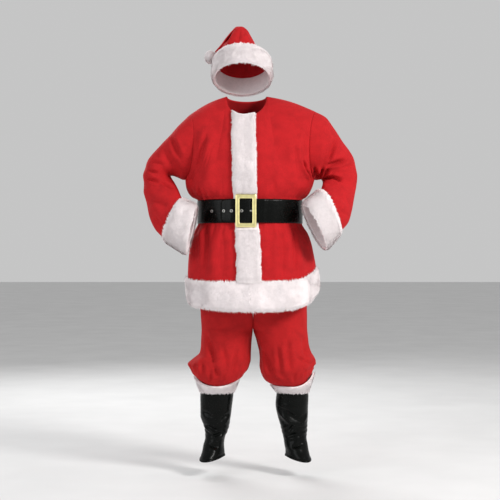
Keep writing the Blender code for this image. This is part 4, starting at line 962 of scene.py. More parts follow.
def quarter_body(side, face):
    """One front, or half the back, from the hem's seam up, with the fade of its folds at the armhole."""
    u = np.linspace(0, 1, PANEL_COLUMNS + 1)
    keys, reaches = zip(*(FRONT_CENTRE if face < 0 else BACK_CENTRE))
    rows = []
    for base in np.linspace(HEM_BASE, keys[0], SKIRT_ROWS + 1):
        middle = float(centre_angle(base)) if face < 0 else 180 * side
        angle = middle + (90 * side - middle) * u
        rows.append(torso_point(angle, base))
        rows[-1][:, 2] = skirt_height(base, angle)
    bottom, top = rows[-1], top_edge(side, face, u)
    across = u[:, None]
    for w in np.linspace(0, 1, YOKE_ROWS + 1)[1:]:
        z = keys[0] + (keys[-1] - keys[0]) * w
        middle_x = float(front_edge_at(z)) if face < 0 else NECK_CENTRE_X * w
        inner = np.array((middle_x, float(curve(keys, reaches, z)), z))
        outer = armhole_point(side, face, w)
        ruled = bottom * (1 - w) + top * w + inner * (1 - across) + outer * across
        corners = (
            bottom[0] * (1 - w) * (1 - across)
            + bottom[-1] * (1 - w) * across
            + top[0] * w * (1 - across)
            + top[-1] * w * across
        )
        rows.append(ruled - corners)
    points = np.array(rows)
    w = np.clip((np.arange(len(points)) - SKIRT_ROWS) / YOKE_ROWS, 0, 1)
    edge, top_share = (np.clip((share - FADE_STARTS) / FADE_TAKES, 0, 1) for share in (u, w))
    fade = (1 - edge[None, :] * np.clip(w * 6, 0, 1)[:, None]) * (1 - top_share[:, None])
    if side * face > 0:
        points, fade = points[:, ::-1], fade[:, ::-1]
    return points, fade


def belt_gathers(points):
    """Small upright gathers where the belt draws the jacket in."""
    turn = np.arctan2(points[..., 0], -points[..., 1])
    beyond = np.abs(points[..., 2] - BELT_HEIGHT) - BELT_HOLDS
    near = np.where(beyond > 0, np.clip(beyond / 0.012, 0, 1) * bell(beyond, BELT_GATHER_REACH), 0)
    waves = gathers(turn, ((23, 1.0, 1.3), (37, 0.8, np.sin(turn * 5) * 2), (61, 0.6, 0.7)))
    return BELT_GATHER_HEIGHT * near * waves


def jacket_relief(points, normals, fade):
    angle = np.degrees(np.arctan2(points[..., 0], -points[..., 1]))
    total = fold_height(JACKET_FOLDS, angle, points[..., 2])
    total += belt_gathers(points)
    total += line_relief(points, normals, -1, JACKET_FRONT_LINES)
    total += line_relief(points, normals, 1, JACKET_BACK_LINES)
    under_belt = np.clip((np.abs(points[..., 2] - BELT_HEIGHT) - BELT_HOLDS) / 0.02, 0, 1)
    return total * fade + soft_unevenness(points, BODY_UNEVEN) * fade * under_belt


def ring_points(upper, under, centre_y, depth, sides, squareness=1.0, lean=0.0):
    """A closed ring seen from in front as the line from its under edge to its upper edge.

    With a lean, the ring's front stands that share of its depth to one side of the line.
    """
    upper, under = np.asarray(upper, float), np.asarray(under, float)
    turn = once_round(sides)
    middle, half = (upper + under) / 2, (upper - under) / 2
    reach = -power(np.cos(turn), squareness)
    forward = depth * power(np.sin(turn), squareness)
    aside = np.array((-half[1], half[0])) / np.linalg.norm(half) * lean
    x = middle[0] + half[0] * reach + aside[0] * forward
    z = middle[1] + half[1] * reach + aside[1] * forward
    return np.stack((x, centre_y - forward, z), axis=-1)


def sleeve_ring(side, row, sides):
    upper_x, upper_z, under_x, under_z, centre_y, depth, lean = row
    upper, under = (upper_x, upper_z), (under_x, under_z)
    return ring_points(upper, under, centre_y, depth, sides, SLEEVE_SQUARENESS, side * lean)


def sleeve_rings(side):
    """Rings of a sleeve from the armhole to the cuff; round each, the under edge comes first."""
    steps = np.linspace(0, 1, YOKE_ROWS + 1)
    front = armhole_point(side, -1, steps)
    back = armhole_point(side, 1, steps)[::-1]
    head = np.concatenate((front, back[1:-1]))
    sides = len(head)
    coarse = np.array([head] + [sleeve_ring(side, row, sides) for row in SLEEVES[side]])
    rings, places = refine_rows(coarse, SLEEVE_ROWS)
    return rings, places - 1


def sleeve_relief(side, points, normals, places):
    turn = once_round(points.shape[1])
    creases = SLEEVE_CREASES[side]
    total = np.array([crease_depth(creases, place, np.degrees(turn)) for place in places])
    total *= SLEEVE_CREASE_SHARE
    total += line_relief(points, normals, -1, SLEEVE_LINES[side])
    total += line_relief(points, normals, 1, SLEEVE_BACK_LINES[side])
    total += soft_unevenness(points, SLEEVE_UNEVEN)
    from_cuff = np.clip((places[-1] - places) / 1.1, 0, 1)[:, None]
    waves = gathers(turn, CUFF_GATHERS)[None, :]
    total += CUFF_GATHER_HEIGHT * waves * bell(from_cuff, CUFF_GATHER_REACH)
    from_head = np.clip((places + 1) / 0.3, 0, 1)[:, None]
    return total * from_head * np.clip(from_cuff * 6, 0.15, 1)


def cuff_rings(side, sleeve_end):
    """A cuff from the sleeve's last ring to the ring at the hand."""
    hand = sleeve_ring(side, CUFFS[side], len(sleeve_end))
    share = np.linspace(CUFF_START, 1 - CUFF_INSET, CUFF_ROWS)[:, None, None]
    return sleeve_end + (hand - sleeve_end) * share


def hem_grid(start, end, count, places):
    """The plush skirt edge below the seam, between two angles, from the hem up."""
    angle = np.linspace(start, end, count + 1)
    hem, seam = hem_level("hem", angle), hem_level("seam", angle)
    rows = []
    for place in places:
        row = torso_point((angle + 180) % 360 - 180, HEM_BASE - HEM_FALL * (1 - place))
        row[:, 2] = hem + (seam - hem) * place
        rows.append(row)
    return np.array(rows)


def grid_normals(points, wrap):
    """Unit normals of a grid of points, pointing to the left of its rows' direction of travel."""
    columns = np.arange(points.shape[1])
    before, after = columns - 1, columns + 1
    if wrap:
        after = after % len(columns)
    else:
        before, after = np.clip(before, 0, None), np.clip(after, None, columns[-1])
    below = np.concatenate((points[:1], points[:-1]))
    above = np.concatenate((points[1:], points[-1:]))
    return unit(np.cross(points[:, after] - points[:, before], above - below))


def share_normals(grids, normals):
    """Gives edge points that panels have in common one normal, so that their edges meet squarely."""
    sums = {}
    for grid, normal in zip(grids, normals):
        for point, direction in zip(grid.reshape(-1, 3).round(6).tolist(), normal.reshape(-1, 3)):
            key = tuple(point)
            sums[key] = sums.get(key, 0) + direction
    shared = []
    for grid, normal in zip(grids, normals):
        flat = np.array([sums[tuple(point)] for point in grid.reshape(-1, 3).round(6).tolist()])
        shared.append(unit(flat).reshape(normal.shape))
    return shared


def pull_back(points, wrap, edges):
    """Draws the named edges of a grid in by half the seam's gap."""
    points = points.copy()
    for edge, here, inner, turned in (
        ("bottom", 0, 1, False),
        ("top", -1, -2, False),
        ("start", 0, 1, True),
        ("end", -1, -2, True),
    ):
        if edge not in edges or (turned and wrap):
            continue
        rows = points.transpose(1, 0, 2) if turned else points
        toward = rows[inner] - rows[here]
        rows[here] += unit(toward) * SEAM_GAP / 2
    return points


# Meshes

def grid_faces(rows, columns, wrap, start, flip):
    """Four-sided faces over a grid of points numbered row by row."""
    i = np.arange(rows - 1)[:, None]
    j = np.arange(columns if wrap else columns - 1)[None, :]
    k = (j + 1) % columns
    corners = (i * columns + j, i * columns + k, (i + 1) * columns + k, (i + 1) * columns + j)
    faces = joined(*corners).reshape(-1, 4) + start
    return faces[:, ::-1] if flip else faces


def rim_faces(numbers, start, closed, flip):
    """Faces across the wall's thickness along one edge of a grid."""
    here, after = numbers, np.roll(numbers, -1)
    if not closed:
        here, after = here[:-1], after[:-1]
    faces = np.stack((here, here + start, after + start, after), axis=-1)
    return faces[:, ::-1] if flip else faces


def mesh_piece(name, points, faces, material):
    """One smooth piece in the part's frame, from points above the floor."""
    points = np.asarray(points, float).reshape(-1, 3) - np.array((0.0, 0.0, SHOULDER_HEIGHT))
    mesh = bpy.data.meshes.new(name)
    mesh.from_pydata(points.tolist(), [], [list(face) for face in faces])
    mesh.validate()
    mesh.shade_smooth()
    return object_of(mesh, material)


def object_of(mesh, material):
    mesh.materials.append(material)
    piece = bpy.data.objects.new(mesh.name, mesh)
    bpy.context.scene.collection.objects.link(piece)
    return piece


def shell(name, outer, inner, wrap, material):
    """A closed wall between an outer and an inner grid; a wrapped grid closes round into a tube."""
    rows, columns = outer.shape[:2]
    count = rows * columns
    numbers = np.arange(count).reshape(rows, columns)
    faces = [
        grid_faces(rows, columns, wrap, 0, False),
        grid_faces(rows, columns, wrap, count, True),
        rim_faces(numbers[0], count, wrap, False),
        rim_faces(numbers[-1], count, wrap, True),
    ]
    if not wrap:
        faces.append(rim_faces(numbers[:, 0], count, False, True))
        faces.append(rim_faces(numbers[:, -1], count, False, False))
    points = np.concatenate((outer.reshape(-1, 3), inner.reshape(-1, 3)))
    piece = mesh_piece(name, points, np.concatenate(faces).tolist(), material)
    smooth = np.arange(len(piece.data.polygons)) < 2 * len(faces[0])
    piece.data.polygons.foreach_set("use_smooth", smooth)
    return piece


def solid_through(name, sections, finish, caps=False):
    """A solid through sections, and its node; it closes round into a hoop, or ends in caps."""
    sections = np.asarray(sections, float)
    numbers = np.arange(sections.shape[0] * sections.shape[1]).reshape(sections.shape[:2])
    low, high = numbers, np.roll(numbers, -1, axis=0)
    if caps:
        low, high = low[:-1], high[:-1]
    corners = (low, np.roll(low, -1, axis=1), np.roll(high, -1, axis=1), high)
    faces = np.stack(corners, axis=-1).reshape(-1, 4).tolist()
    if caps:
        faces += [numbers[0][::-1].tolist(), numbers[-1].tolist()]
    piece = mesh_piece(name, sections, faces, material_of(finish))
    form = bmesh.new()
    form.from_mesh(piece.data)
    bmesh.ops.recalc_face_normals(form, faces=form.faces)
    form.to_mesh(piece.data)
    form.free()
    piece.data.shade_smooth()
    return declare(piece, name)


def declare(piece, node):
    """Rides the piece and lets it stand for its solid."""
    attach(piece, "root")
    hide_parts(node)
    return piece


# Pile

def pile_share(place):
    """How much of its full pile plush has across a band, from edge to edge."""
    return curve(*zip(*PILE_RISE), place)


def value_noise(points, size, seed):
    """Smooth noise from -1 to 1 over points, with lumps of about the given size."""
    random = np.random.default_rng(seed)
    table = random.uniform(-1, 1, (32, 32, 32))
    scaled = points / size
    cell = np.floor(scaled).astype(int)
    part = scaled - cell
    part = part * part * (3 - 2 * part)
    total = np.zeros(points.shape[:-1])
    for corner in range(8):
        step = np.array((corner & 1, corner >> 1 & 1, corner >> 2 & 1))
        share = np.prod(np.where(step, part, 1 - part), axis=-1)
        at = (cell + step) % 32
        total += share * table[at[..., 0], at[..., 1], at[..., 2]]
    return total


def spread_over(grid, normals, wrap, density, random):
    """Even random places over a grid: their points, normals and shares along rows and columns."""
    if wrap:
        grid = np.concatenate((grid, grid[:, :1]), axis=1)
        normals = np.concatenate((normals, normals[:, :1]), axis=1)
    a, b = grid[:-1, 1:] - grid[:-1, :-1], grid[1:, :-1] - grid[:-1, :-1]
    areas = np.linalg.norm(np.cross(a, b), axis=-1)
    count = int(areas.sum() * density)
    cells = random.choice(areas.size, count, p=(areas / areas.sum()).ravel())
    i, j = np.unravel_index(cells, areas.shape)
    s, t = random.random(count)[:, None], random.random(count)[:, None]

    def blend(values):
        low = values[i, j] * (1 - t) + values[i, j + 1] * t
        high = values[i + 1, j] * (1 - t) + values[i + 1, j + 1] * t
        return low * (1 - s) + high * s

    down, along = (i + s[:, 0]) / (grid.shape[0] - 1), (j + t[:, 0]) / (grid.shape[1] - 1)
    return blend(grid), unit(blend(normals)), down, along


def blade_mesh(name, points, soft, shade):
    """A mesh of blades of five points each: two at the root, two in the middle and one at the tip.

    Soft gives each blade's shading normal, and shade its place on the bake map.
    """
    count = len(points)
    start = np.arange(count)[:, None] * TUFT_POINTS
    quads = np.concatenate((start, start + 1, start + 2, start + 3), axis=1)
    ends = np.concatenate((start + 3, start + 2, start + 4), axis=1)
    mesh = bpy.data.meshes.new(name)
    mesh.vertices.add(count * TUFT_POINTS)
    mesh.vertices.foreach_set("co", (points - np.array((0.0, 0.0, SHOULDER_HEIGHT))).ravel())
    loops = np.concatenate((quads, ends), axis=1).reshape(-1)
    mesh.loops.add(len(loops))
    mesh.loops.foreach_set("vertex_index", loops.astype(np.int32))
    sizes = np.tile((4, 3), count)
    starts = np.concatenate(((0,), np.cumsum(sizes)[:-1]))
    mesh.polygons.add(len(sizes))
    mesh.polygons.foreach_set("loop_start", starts.astype(np.int32))
    mesh.update(calc_edges=True)
    mesh.shade_smooth()
    mesh.normals_split_custom_set_from_vertices(np.repeat(soft, TUFT_POINTS, axis=0).tolist())
    offset = np.array(((0, 0), (2, 0), (2, 2), (0, 2), (0, 2), (2, 2), (1, 4))) * 0.001
    mesh.uv_layers.new(name="OFBake").data.foreach_set("uv", (shade[:, None] * 0.98 + offset).ravel())
    return mesh


def tufts(name, roots, normals, lengths, comb, seed, laid=TUFT_LAID, edge=None):
    """Pile over a surface as joined blades, each a tapered, bent strip that faces outwards.

    The edge gives the directions in which tufts lean over an edge, with their shares.
    """
    random = np.random.default_rng(seed)
    count = len(roots)
    sideways = unit(np.cross(normals, comb))
    level = unit(np.cross(sideways, normals))
    swirl = sum(
        value_noise(roots, size, seed + i) * share for i, (size, share) in enumerate(TUFT_SWIRLS)
    )
    swirl += random.normal(0, TUFT_SWIRL_SPREAD, count)
    lean = level * np.cos(swirl)[:, None] + sideways * np.sin(swirl)[:, None]
    rise = np.clip(1 - laid + random.normal(0, TUFT_RISE_SPREAD, count), 0.1, 0.95)[:, None]
    if edge is not None:
        toward, over = edge[0], edge[1][:, None]
        lean = unit(lean * (1 - over) + toward * 1.6 * over)
        rise = rise * (1 - 0.55 * over)
    first = unit(normals * (rise + 0.35) + lean * 0.6)
    second = unit(normals * rise * 0.75 + lean + random.normal(0, 0.16, (count, 3)))
    length = (lengths * random.uniform(*TUFT_LENGTHS, count))[:, None]
    width = (TUFT_WIDTH * random.uniform(*TUFT_WIDTHS, count))[:, None]
    across = unit(np.cross(second, normals)) * width
    roots = roots - normals * TUFT_ROOTED
    middle = roots + first * length * 0.5
    tips = middle + second * length * 0.5
    foot, waist = across * TUFT_FOOT, across * TUFT_WAIST
    ends = (roots - foot, roots + foot, middle + waist, middle - waist, tips)
    soft = unit(normals * 0.9 + second * 0.12 + random.normal(0, 0.07, (count, 3)))
    shade = np.stack((swirl * 0.11 + roots[:, 0] * 2.2, roots[:, 2] * 1.3), axis=-1) % 1.0
    piece = object_of(blade_mesh(name, np.stack(ends, axis=1), soft, shade), material_of("white_plush"))
    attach(piece, "root")
    return piece


def plush_piece(node, base, normals, pile, wrap, seed, comb, reach=None, fringe="rows", fuzz=1.0):
    """Plush as a soft, lumpy backing with its pile standing on it; the backing stands for the solid.

    The base is the backing's inner face; reach shortens the tufts where something presses on them, row by
    row, and the fringe is at the first and last rows or at the first and last columns.
    """
    suit = bpy.context.scene.santa_suit
    (broad, broad_share), (fine, fine_share) = PLUSH_LUMP_SIZES
    lumps = value_noise(base, broad, seed) * broad_share + value_noise(base, fine, seed + 3) * fine_share
    body = PLUSH_BACKING + pile * PLUSH_CORE + lumps * PLUSH_LUMPS * np.clip(pile / PLUSH_LUMPY_FROM, 0, 1)
    outer = base + normals * body[..., None]
    backing = shell(node, outer, base, wrap, material_of("white_plush_backing"))
    random = np.random.default_rng(seed)
    normals_out = grid_normals(outer, wrap)
    roots, out, down, along = spread_over(outer, normals_out, wrap, suit.tuft_density, random)
    place, axis = (down, 0) if fringe == "rows" else (along, 1)
    courses = unit(np.gradient(outer, axis=axis))
    i = np.rint(down * (outer.shape[0] - 1)).astype(int)
    j = np.rint(along * (outer.shape[1] - (0 if wrap else 1))).astype(int) % outer.shape[1]
    over = np.clip(1 - np.minimum(place, 1 - place) / FRINGE_SHARE, 0, 1)
    toward = courses[i, j] * np.where(place < 0.5, -1, 1)[:, None]
    long_ones = random.random(len(roots)) < FRINGE_LONG_ONES
    longer = np.where(long_ones, *FRINGE_LONGER) * fuzz
    lengths = suit.tuft_length * (1 + over * longer - over * FRINGE_TRIMMED * (1 - fuzz))
    if reach is not None:
        near = reach[i]
        lengths, keep = lengths * np.clip(near, TUFT_PRESSED, 1), near > TUFT_GONE
        roots, out, lengths, toward, over = (values[keep] for values in (roots, out, lengths, toward, over))
    comb, edge = np.asarray(comb, float), (toward, over**0.7 * fuzz)
    fur = tufts(f"{node}_pile", roots, out, lengths, comb, seed, edge=edge)
    return backing, fur


# Jacket

@functools.lru_cache(maxsize=None)
def jacket_grids():
    """The jacket as grids of points on its outer face, with one set of normals for them all."""
    quarters = {(side, face): quarter_body(side, face) for side in (-1, 1) for face in (-1, 1)}

    def body(part):
        fronts = {wearer: quarters[side, -1][part] for side, wearer in SIDES}
        back = np.concatenate((quarters[1, 1][part], quarters[-1, 1][part][:, 1:]), axis=1)
        return {
            "jacket_front_right": fronts["right"],
            "jacket_front_left": fronts["left"],
            "jacket_back": back,
        }

    grids, fades = body(0), body(1)
    middle, places = float(centre_angle(HEM_BASE)), np.linspace(HEM_INSET, 1, HEM_ROWS)
    for name, start, end, count in (
        ("plush_hem_right", -90, middle, PANEL_COLUMNS),
        ("plush_hem_left", middle, 90, PANEL_COLUMNS),
        ("plush_hem_back", 90, 270, 2 * PANEL_COLUMNS),
    ):
        grids[name] = hem_grid(start, end, count, places)
    heights = {}
    for side, wearer in SIDES:
        rings, places = sleeve_rings(side)
        outward = grid_normals(rings, True) * -side
        relief = sleeve_relief(side, rings, outward, places)
        cuff = cuff_rings(side, rings[-1])
        if side > 0:
            order = [0] + list(range(rings.shape[1] - 1, 0, -1))
            rings, relief, cuff = rings[:, order], relief[:, order], cuff[:, order]
        grids[f"jacket_sleeve_{wearer}"] = rings
        heights[f"jacket_sleeve_{wearer}"] = relief
        grids[f"plush_cuff_{wearer}"] = cuff
    names = list(grids)
    plain = [grid_normals(grids[name], is_tube(name)) for name in names]
    normals = dict(zip(names, share_normals(list(grids.values()), plain)))
    for _, wearer in SIDES:
        normals[f"plush_cuff_{wearer}"][0] = normals[f"jacket_sleeve_{wearer}"][-1]
    shaped = {}
    for name, normal in normals.items():
        points = grids[name]
        if name in heights:
            height = heights[name]
        elif name.startswith("plush_cuff"):
            height = np.zeros(points.shape[:2])
        else:
            height = jacket_relief(points, normal, fades.get(name, 1.0))
        shaped[name] = (points + normal * height[..., None], normal)
    return shaped


def is_tube(name):
    return "sleeve" in name or "cuff" in name


def flannel_piece(node, points, normals, wrap, edges, material="red_flannel", dip=1.0):
    """A wall of flannel that rolls down into its seams."""
    thickness = bpy.context.scene.santa_suit.flannel
    points = points + normals * seam_dip(points, wrap, edges, SEAM_DIP * dip)[..., None]
    outer = pull_back(points, wrap, edges)
    piece = shell(node, outer, outer - normals * thickness, wrap, material_of(material))
    return declare(piece, node)


EVERY_EDGE = ("bottom", "top", "start", "end")


def make_jacket_body():
    for name in ("jacket_back", "jacket_front_right", "jacket_front_left"):
        flannel_piece(name, *jacket_grids()[name], False, EVERY_EDGE, dip=BODY_DIP)


def make_sleeves():
    for _, wearer in SIDES:
        name = f"jacket_sleeve_{wearer}"
        flannel_piece(name, *jacket_grids()[name], True, EVERY_EDGE, dip=BODY_DIP)


def plush_on(node, points, normals, wrap, pile, seed, comb):
    """Plush sewn on at its seams, flush inside with the flannel that it carries on from."""
    thickness = bpy.context.scene.santa_suit.flannel
    base = pull_back(points, wrap, EVERY_EDGE) - normals * thickness
    backing, fur = plush_piece(node, base, normals, pile + thickness, wrap, seed, comb)
    return declare(backing, node)


def make_hem_and_cuffs():
    grids = jacket_grids()
    suit = bpy.context.scene.santa_suit
    names = ("plush_hem_right", "plush_hem_left", "plush_hem_back", "plush_cuff_right", "plush_cuff_left")
    for seed, name in enumerate(names, 11):
        points, normals = grids[name]
        share = pile_share(np.linspace(0, 1, len(points)))[:, None]
        pile = suit.pile * share * np.ones(points.shape[:2])
        comb = points[-1].mean(axis=0) - points[0].mean(axis=0)
        plush_on(name, points, normals, is_tube(name), pile, seed, unit(comb))


# Front band

def belt_press(z):
    """1 behind the belt and its buckle, 0 a finger's width above and below them."""
    beyond = np.abs(z - BELT_HEIGHT) - BUCKLE_REACH
    return np.clip(1 - (beyond - 0.001) / 0.011, 0, 1)


def make_front_band():
    """The plush down the front edge, on the points of both fronts."""
    suit = bpy.context.scene.santa_suit
    right, left = (jacket_grids()[f"jacket_front_{wearer}"] for _, wearer in SIDES)
    across = np.linspace(-1, 1, BAND_COLUMNS)
    rows, normals = [], []
    for points, normal in zip(*(np.concatenate((r[:, :-1], l), axis=1) for r, l in zip(right, left))):
        middle, z = points[PANEL_COLUMNS, 0], points[PANEL_COLUMNS, 2]
        skirt = np.clip((BAND_SKIRT_STARTS - z) / 0.08, 0, 1)
        waves = sum(
            height * skirt * np.sin(z * count + start) * (across * side > 0)
            for side, height, count, start in BAND_WAVES
        )
        at = middle + across * (suit.band_width / 2 - BAND_INSET) + waves * np.abs(across)
        for found, values in ((rows, points), (normals, normal)):
            found.append(np.stack([np.interp(at, points[:, 0], value) for value in values.T], axis=-1))
    rows, normals = np.array(rows), unit(np.array(normals))
    press = belt_press(rows[..., 2])
    yoke = np.clip((rows[..., 2] - BAND_YOKE_STARTS) / 0.03, 0, 1)
    base = rows + normals * (BAND_LIFT + BAND_YOKE_LIFT * yoke)[..., None]
    base[0, :, 2] += SEAM_GAP
    full = suit.pile * pile_share((across + 1) / 2)[None, :] * np.ones(rows.shape[:2])
    full[:3] *= 0.8
    pile = full * (1 - press) + (BAND_PRESSED - PLUSH_BACKING) * press / PLUSH_CORE
    reach = 1 - press.mean(axis=1)
    backing, fur = plush_piece(
        "plush_front_band", base, normals, pile, False, 31, (0, 0, -1), reach, "columns", 0.35
    )
    declare(backing, "plush_front_band")


# Belt

def belt_line(angles, lift):
    """Points of the belt's inner face at mid height, and its outward directions."""
    suit = bpy.context.scene.santa_suit
    level, step = BELT_HEIGHT + BELT_WIDTH / 2 + BELT_READS_ABOVE, 0.01

    def on_body(turn):
        return torso_point((turn + 180) % 360 - 180, level)

    here, along = on_body(angles), on_body(angles + step) - on_body(angles - step)
    outward = level_outward(along)
    aside = np.abs(here[:, 0] - float(front_edge_at(BELT_HEIGHT))) - suit.band_width / 2
    step_up = np.clip(BAND_STEP_STARTS - aside / BAND_STEP_WIDTH, 0, 1)
    over_band = (BAND_LIFT + BAND_PRESSED) * step_up * (here[:, 1] < 0)
    points = here + outward * (BELT_CLEAR + over_band + lift)[:, None]
    points[:, 2] = BELT_HEIGHT
    return points, outward


def belt_lift(angles):
    """The strap runs on over its own start: how far it has stepped out at each angle."""
    share = np.clip((STEP_OVER_STARTS - angles) / (STEP_OVER_STARTS - STEP_OVER_ENDS), 0, 1)
    return BELT_LAYER * share * share * (3 - 2 * share)


def make_belt():
    """One strap that starts behind the buckle, goes once round and ends in a free tip on itself."""
    round_back = np.linspace(BELT_START, BELT_FRONT_FROM, BELT_STEPS)
    over_front = np.linspace(BELT_FRONT_FROM, BELT_TIP, BELT_FRONT_STEPS)[1:]
    angles = np.concatenate((round_back, over_front))
    points, outward = belt_line(angles, belt_lift(angles))
    steps = np.linalg.norm(np.diff(points, axis=0), axis=1)
    to_tip = np.concatenate((np.cumsum(steps[::-1])[::-1], (0.0,)))
    from_start = to_tip[0] - to_tip
    round_tip = np.clip(1 - to_tip / TIP_LENGTH, 0, 1)
    rounding = np.sqrt(np.clip(1 - round_tip**TIP_ROUNDNESS, 0, 1))
    half = BELT_WIDTH / 2 * (TIP_HALF + (1 - TIP_HALF) * rounding)
    across = np.linspace(-1, 1, BELT_SECTION)
    creases = np.zeros((len(angles), BELT_SECTION))
    for place, width, depth, slant in BELT_CREASES:
        creases += depth * bell(to_tip[:, None] - place - slant * across[None, :], width)
    wander = BELT_WANDER * np.sin(from_start * 37 + np.sin(from_start * 9) * 2)[:, None]
    wander = wander * (1 - across[None, :] ** 2)
    section = BELT_THICKNESS * (1 - EDGE_THINNER * np.abs(across) ** EDGE_SHARPNESS)
    full = section[None, :] + creases + wander
    full = np.maximum(full, BELT_THICKNESS * THINNEST)
    heights = half[:, None] * across[None, :]
    sections = []
    for i in range(len(angles)):
        outer = points[i] + outward[i] * full[i][:, None]
        inner = np.repeat(points[i][None], BELT_SECTION, axis=0)
        outer[:, 2] += heights[i] * OUTER_FACE
        inner[:, 2] += heights[i]
        sections.append(np.concatenate((outer, inner[::-1])))
    solid_through("belt_strap", sections, "black_vinyl", caps=True)


def make_eyelets():
    """Pressed rings round the strap's holes."""
    for name, angle in EYELETS:
        lift = belt_lift(np.array((angle,))) if angle < -180 else np.zeros(1)
        point, outward = (found[0] for found in belt_line(np.array((angle,)), lift))
        seat = point + outward * (BELT_THICKNESS + EYELET_DEPTH)
        sideways = np.array((-outward[1], outward[0], 0.0))
        ring = once_round(EYELET_SIDES)[:, None, None]
        round_wire = once_round(EYELET_RING_SIDES)[None, :, None]
        radial = sideways * np.cos(ring) + np.array((0, 0, 1.0)) * np.sin(ring)
        wide, high = EYELET_RING
        radius = EYELET_RADIUS + wide * np.cos(round_wire)
        sections = seat + radial * radius + outward * high * np.sin(round_wire)
        solid_through(name, sections, "nickel")


def rounded_outline(half_width, half_height, radius):
    """Points round an upright rectangle with round corners, with extra points along its sides."""
    corners = []
    for k, (x_sign, z_sign) in enumerate(((1, 1), (-1, 1), (-1, -1), (1, -1))):
        turn = np.linspace(0, math.pi / 2, CORNER_POINTS) + k * math.pi / 2
        x = x_sign * (half_width - radius) + radius * np.cos(turn)
        z = z_sign * (half_height - radius) + radius * np.sin(turn)
        corners.append(np.stack((x, z), axis=-1))
    points = []
    for corner, after in zip(corners, corners[1:] + corners[:1]):
        side = corner[-1] + (after[0] - corner[-1]) * np.array(SIDE_POINTS)[:, None]
        points += [corner, side]
    return np.concatenate(points)


def buckle_back():
    angles = np.linspace(*BUCKLE_SPREAD)
    front = belt_line(angles, np.full(len(angles), BELT_LAYER))[0][:, 1].min()
    return float(front) - BELT_THICKNESS - LAID_ON


def make_buckle():
    """A plain frame with soft edges that stands on the strap."""
    middle_x, back_y = float(front_edge_at(BELT_HEIGHT)), buckle_back()
    half_width, half_height = BUCKLE_WIDTH / 2, BUCKLE_HEIGHT / 2
    outer = rounded_outline(half_width, half_height, BUCKLE_OUTER_CORNER)[:, None]
    inner = rounded_outline(half_width - BUCKLE_BAR, half_height - BUCKLE_BAR, BUCKLE_INNER_CORNER)[:, None]
    inward, forward = np.array(BUCKLE_PROFILE).T
    x, z = np.moveaxis(outer + (inner - outer) * inward[None, :, None], -1, 0)
    rings = joined(middle_x + x, back_y - BUCKLE_DEPTH * forward, BELT_HEIGHT + z)
    solid_through("belt_buckle", rings, "pale_brass")


def make_stud():
    """The stud on the buckle's bar that holds the strap's hole."""
    stud_x = float(front_edge_at(BELT_HEIGHT)) + BUCKLE_WIDTH / 2 - BUCKLE_BAR
    along, half = np.array(STUD).T[:, :, None]
    turn = once_round(STUD_SIDES)[None, :]
    y = buckle_back() - STUD_SEAT - STUD_DEPTH * np.sin(turn) * np.sqrt(half / half.max())
    rings = joined(stud_x - along, y, BELT_HEIGHT + half * np.cos(turn))
    solid_through("belt_buckle_stud", rings, "nickel", caps=True)


# Trousers

def rim_height(side, toward_outer, toward_front):
    """How high the boot's plush stands at a direction round the leg."""
    inner, front, outer, back = BOOT_RIM[side]
    across = np.where(toward_outer > 0, outer, inner)
    along = np.where(toward_front > 0, front, back)
    return across + (along - across) * np.abs(toward_front) ** RIM_ROUNDNESS


def leg_row(side, face, z, u):
    """Half round a leg at a height, from the inseam to the outseam; low down it follows the boot's rim."""
    values = row_at(LEG_COLUMNS, LEGS[side], z)
    middle, half = (values["outer"] + values["inner"]) / 2, (values["outer"] - values["inner"]) / 2
    turn = math.pi * u
    x = middle - half * np.cos(turn)
    y = values["centre_y"] + face * values["depth"] * power(np.sin(turn), LEG_SQUARENESS)
    rise = rim_height(side, -np.cos(turn), -face * np.sin(turn)) - RIM_LEVEL
    z = z + rise * float(curve(*zip(*RIM_FOLLOWED), z))
    return joined(x, y, z)


def seat_row(side, face, z, u):
    """Half a front or half a back above the crotch, from the centre seam to the side seam."""
    values = row_at(SEAT_COLUMNS, SEAT, z)
    leg = leg_row(side, face, CROTCH_Z, u)
    outer = values["left"] if side > 0 else values["right"]
    x = CROTCH_X + (outer - CROTCH_X) * (leg[:, 0] - leg[0, 0]) / (leg[-1, 0] - leg[0, 0])
    reach = values["front"] if face < 0 else values["back"]
    share = (x - CROTCH_X) / (outer - CROTCH_X)
    whole = face * reach * np.sqrt(np.clip(1 - np.abs(share) ** SEAT_ROUNDNESS, 0, 1)) + leg[-1, 1]
    blend = np.clip((z - CROTCH_Z) / RISE_HEIGHT, 0, 1) ** 0.5
    return joined(x, leg[:, 1] * (1 - blend) + whole * blend, z)


def waist_row(side, face, z, u):
    """The top edge under the belt, just inside the jacket."""
    start = WAIST_CENTRE_ANGLE if face < 0 else 180.0 * side
    angle = start + (90.0 * side - start) * u
    points = torso_point(angle, BELT_HEIGHT)
    along = torso_point(angle + 0.01, BELT_HEIGHT) - torso_point(angle - 0.01, BELT_HEIGHT)
    points = points - level_outward(along) * (bpy.context.scene.santa_suit.flannel + WAIST_CLEAR)
    points[:, 2] = z
    return points


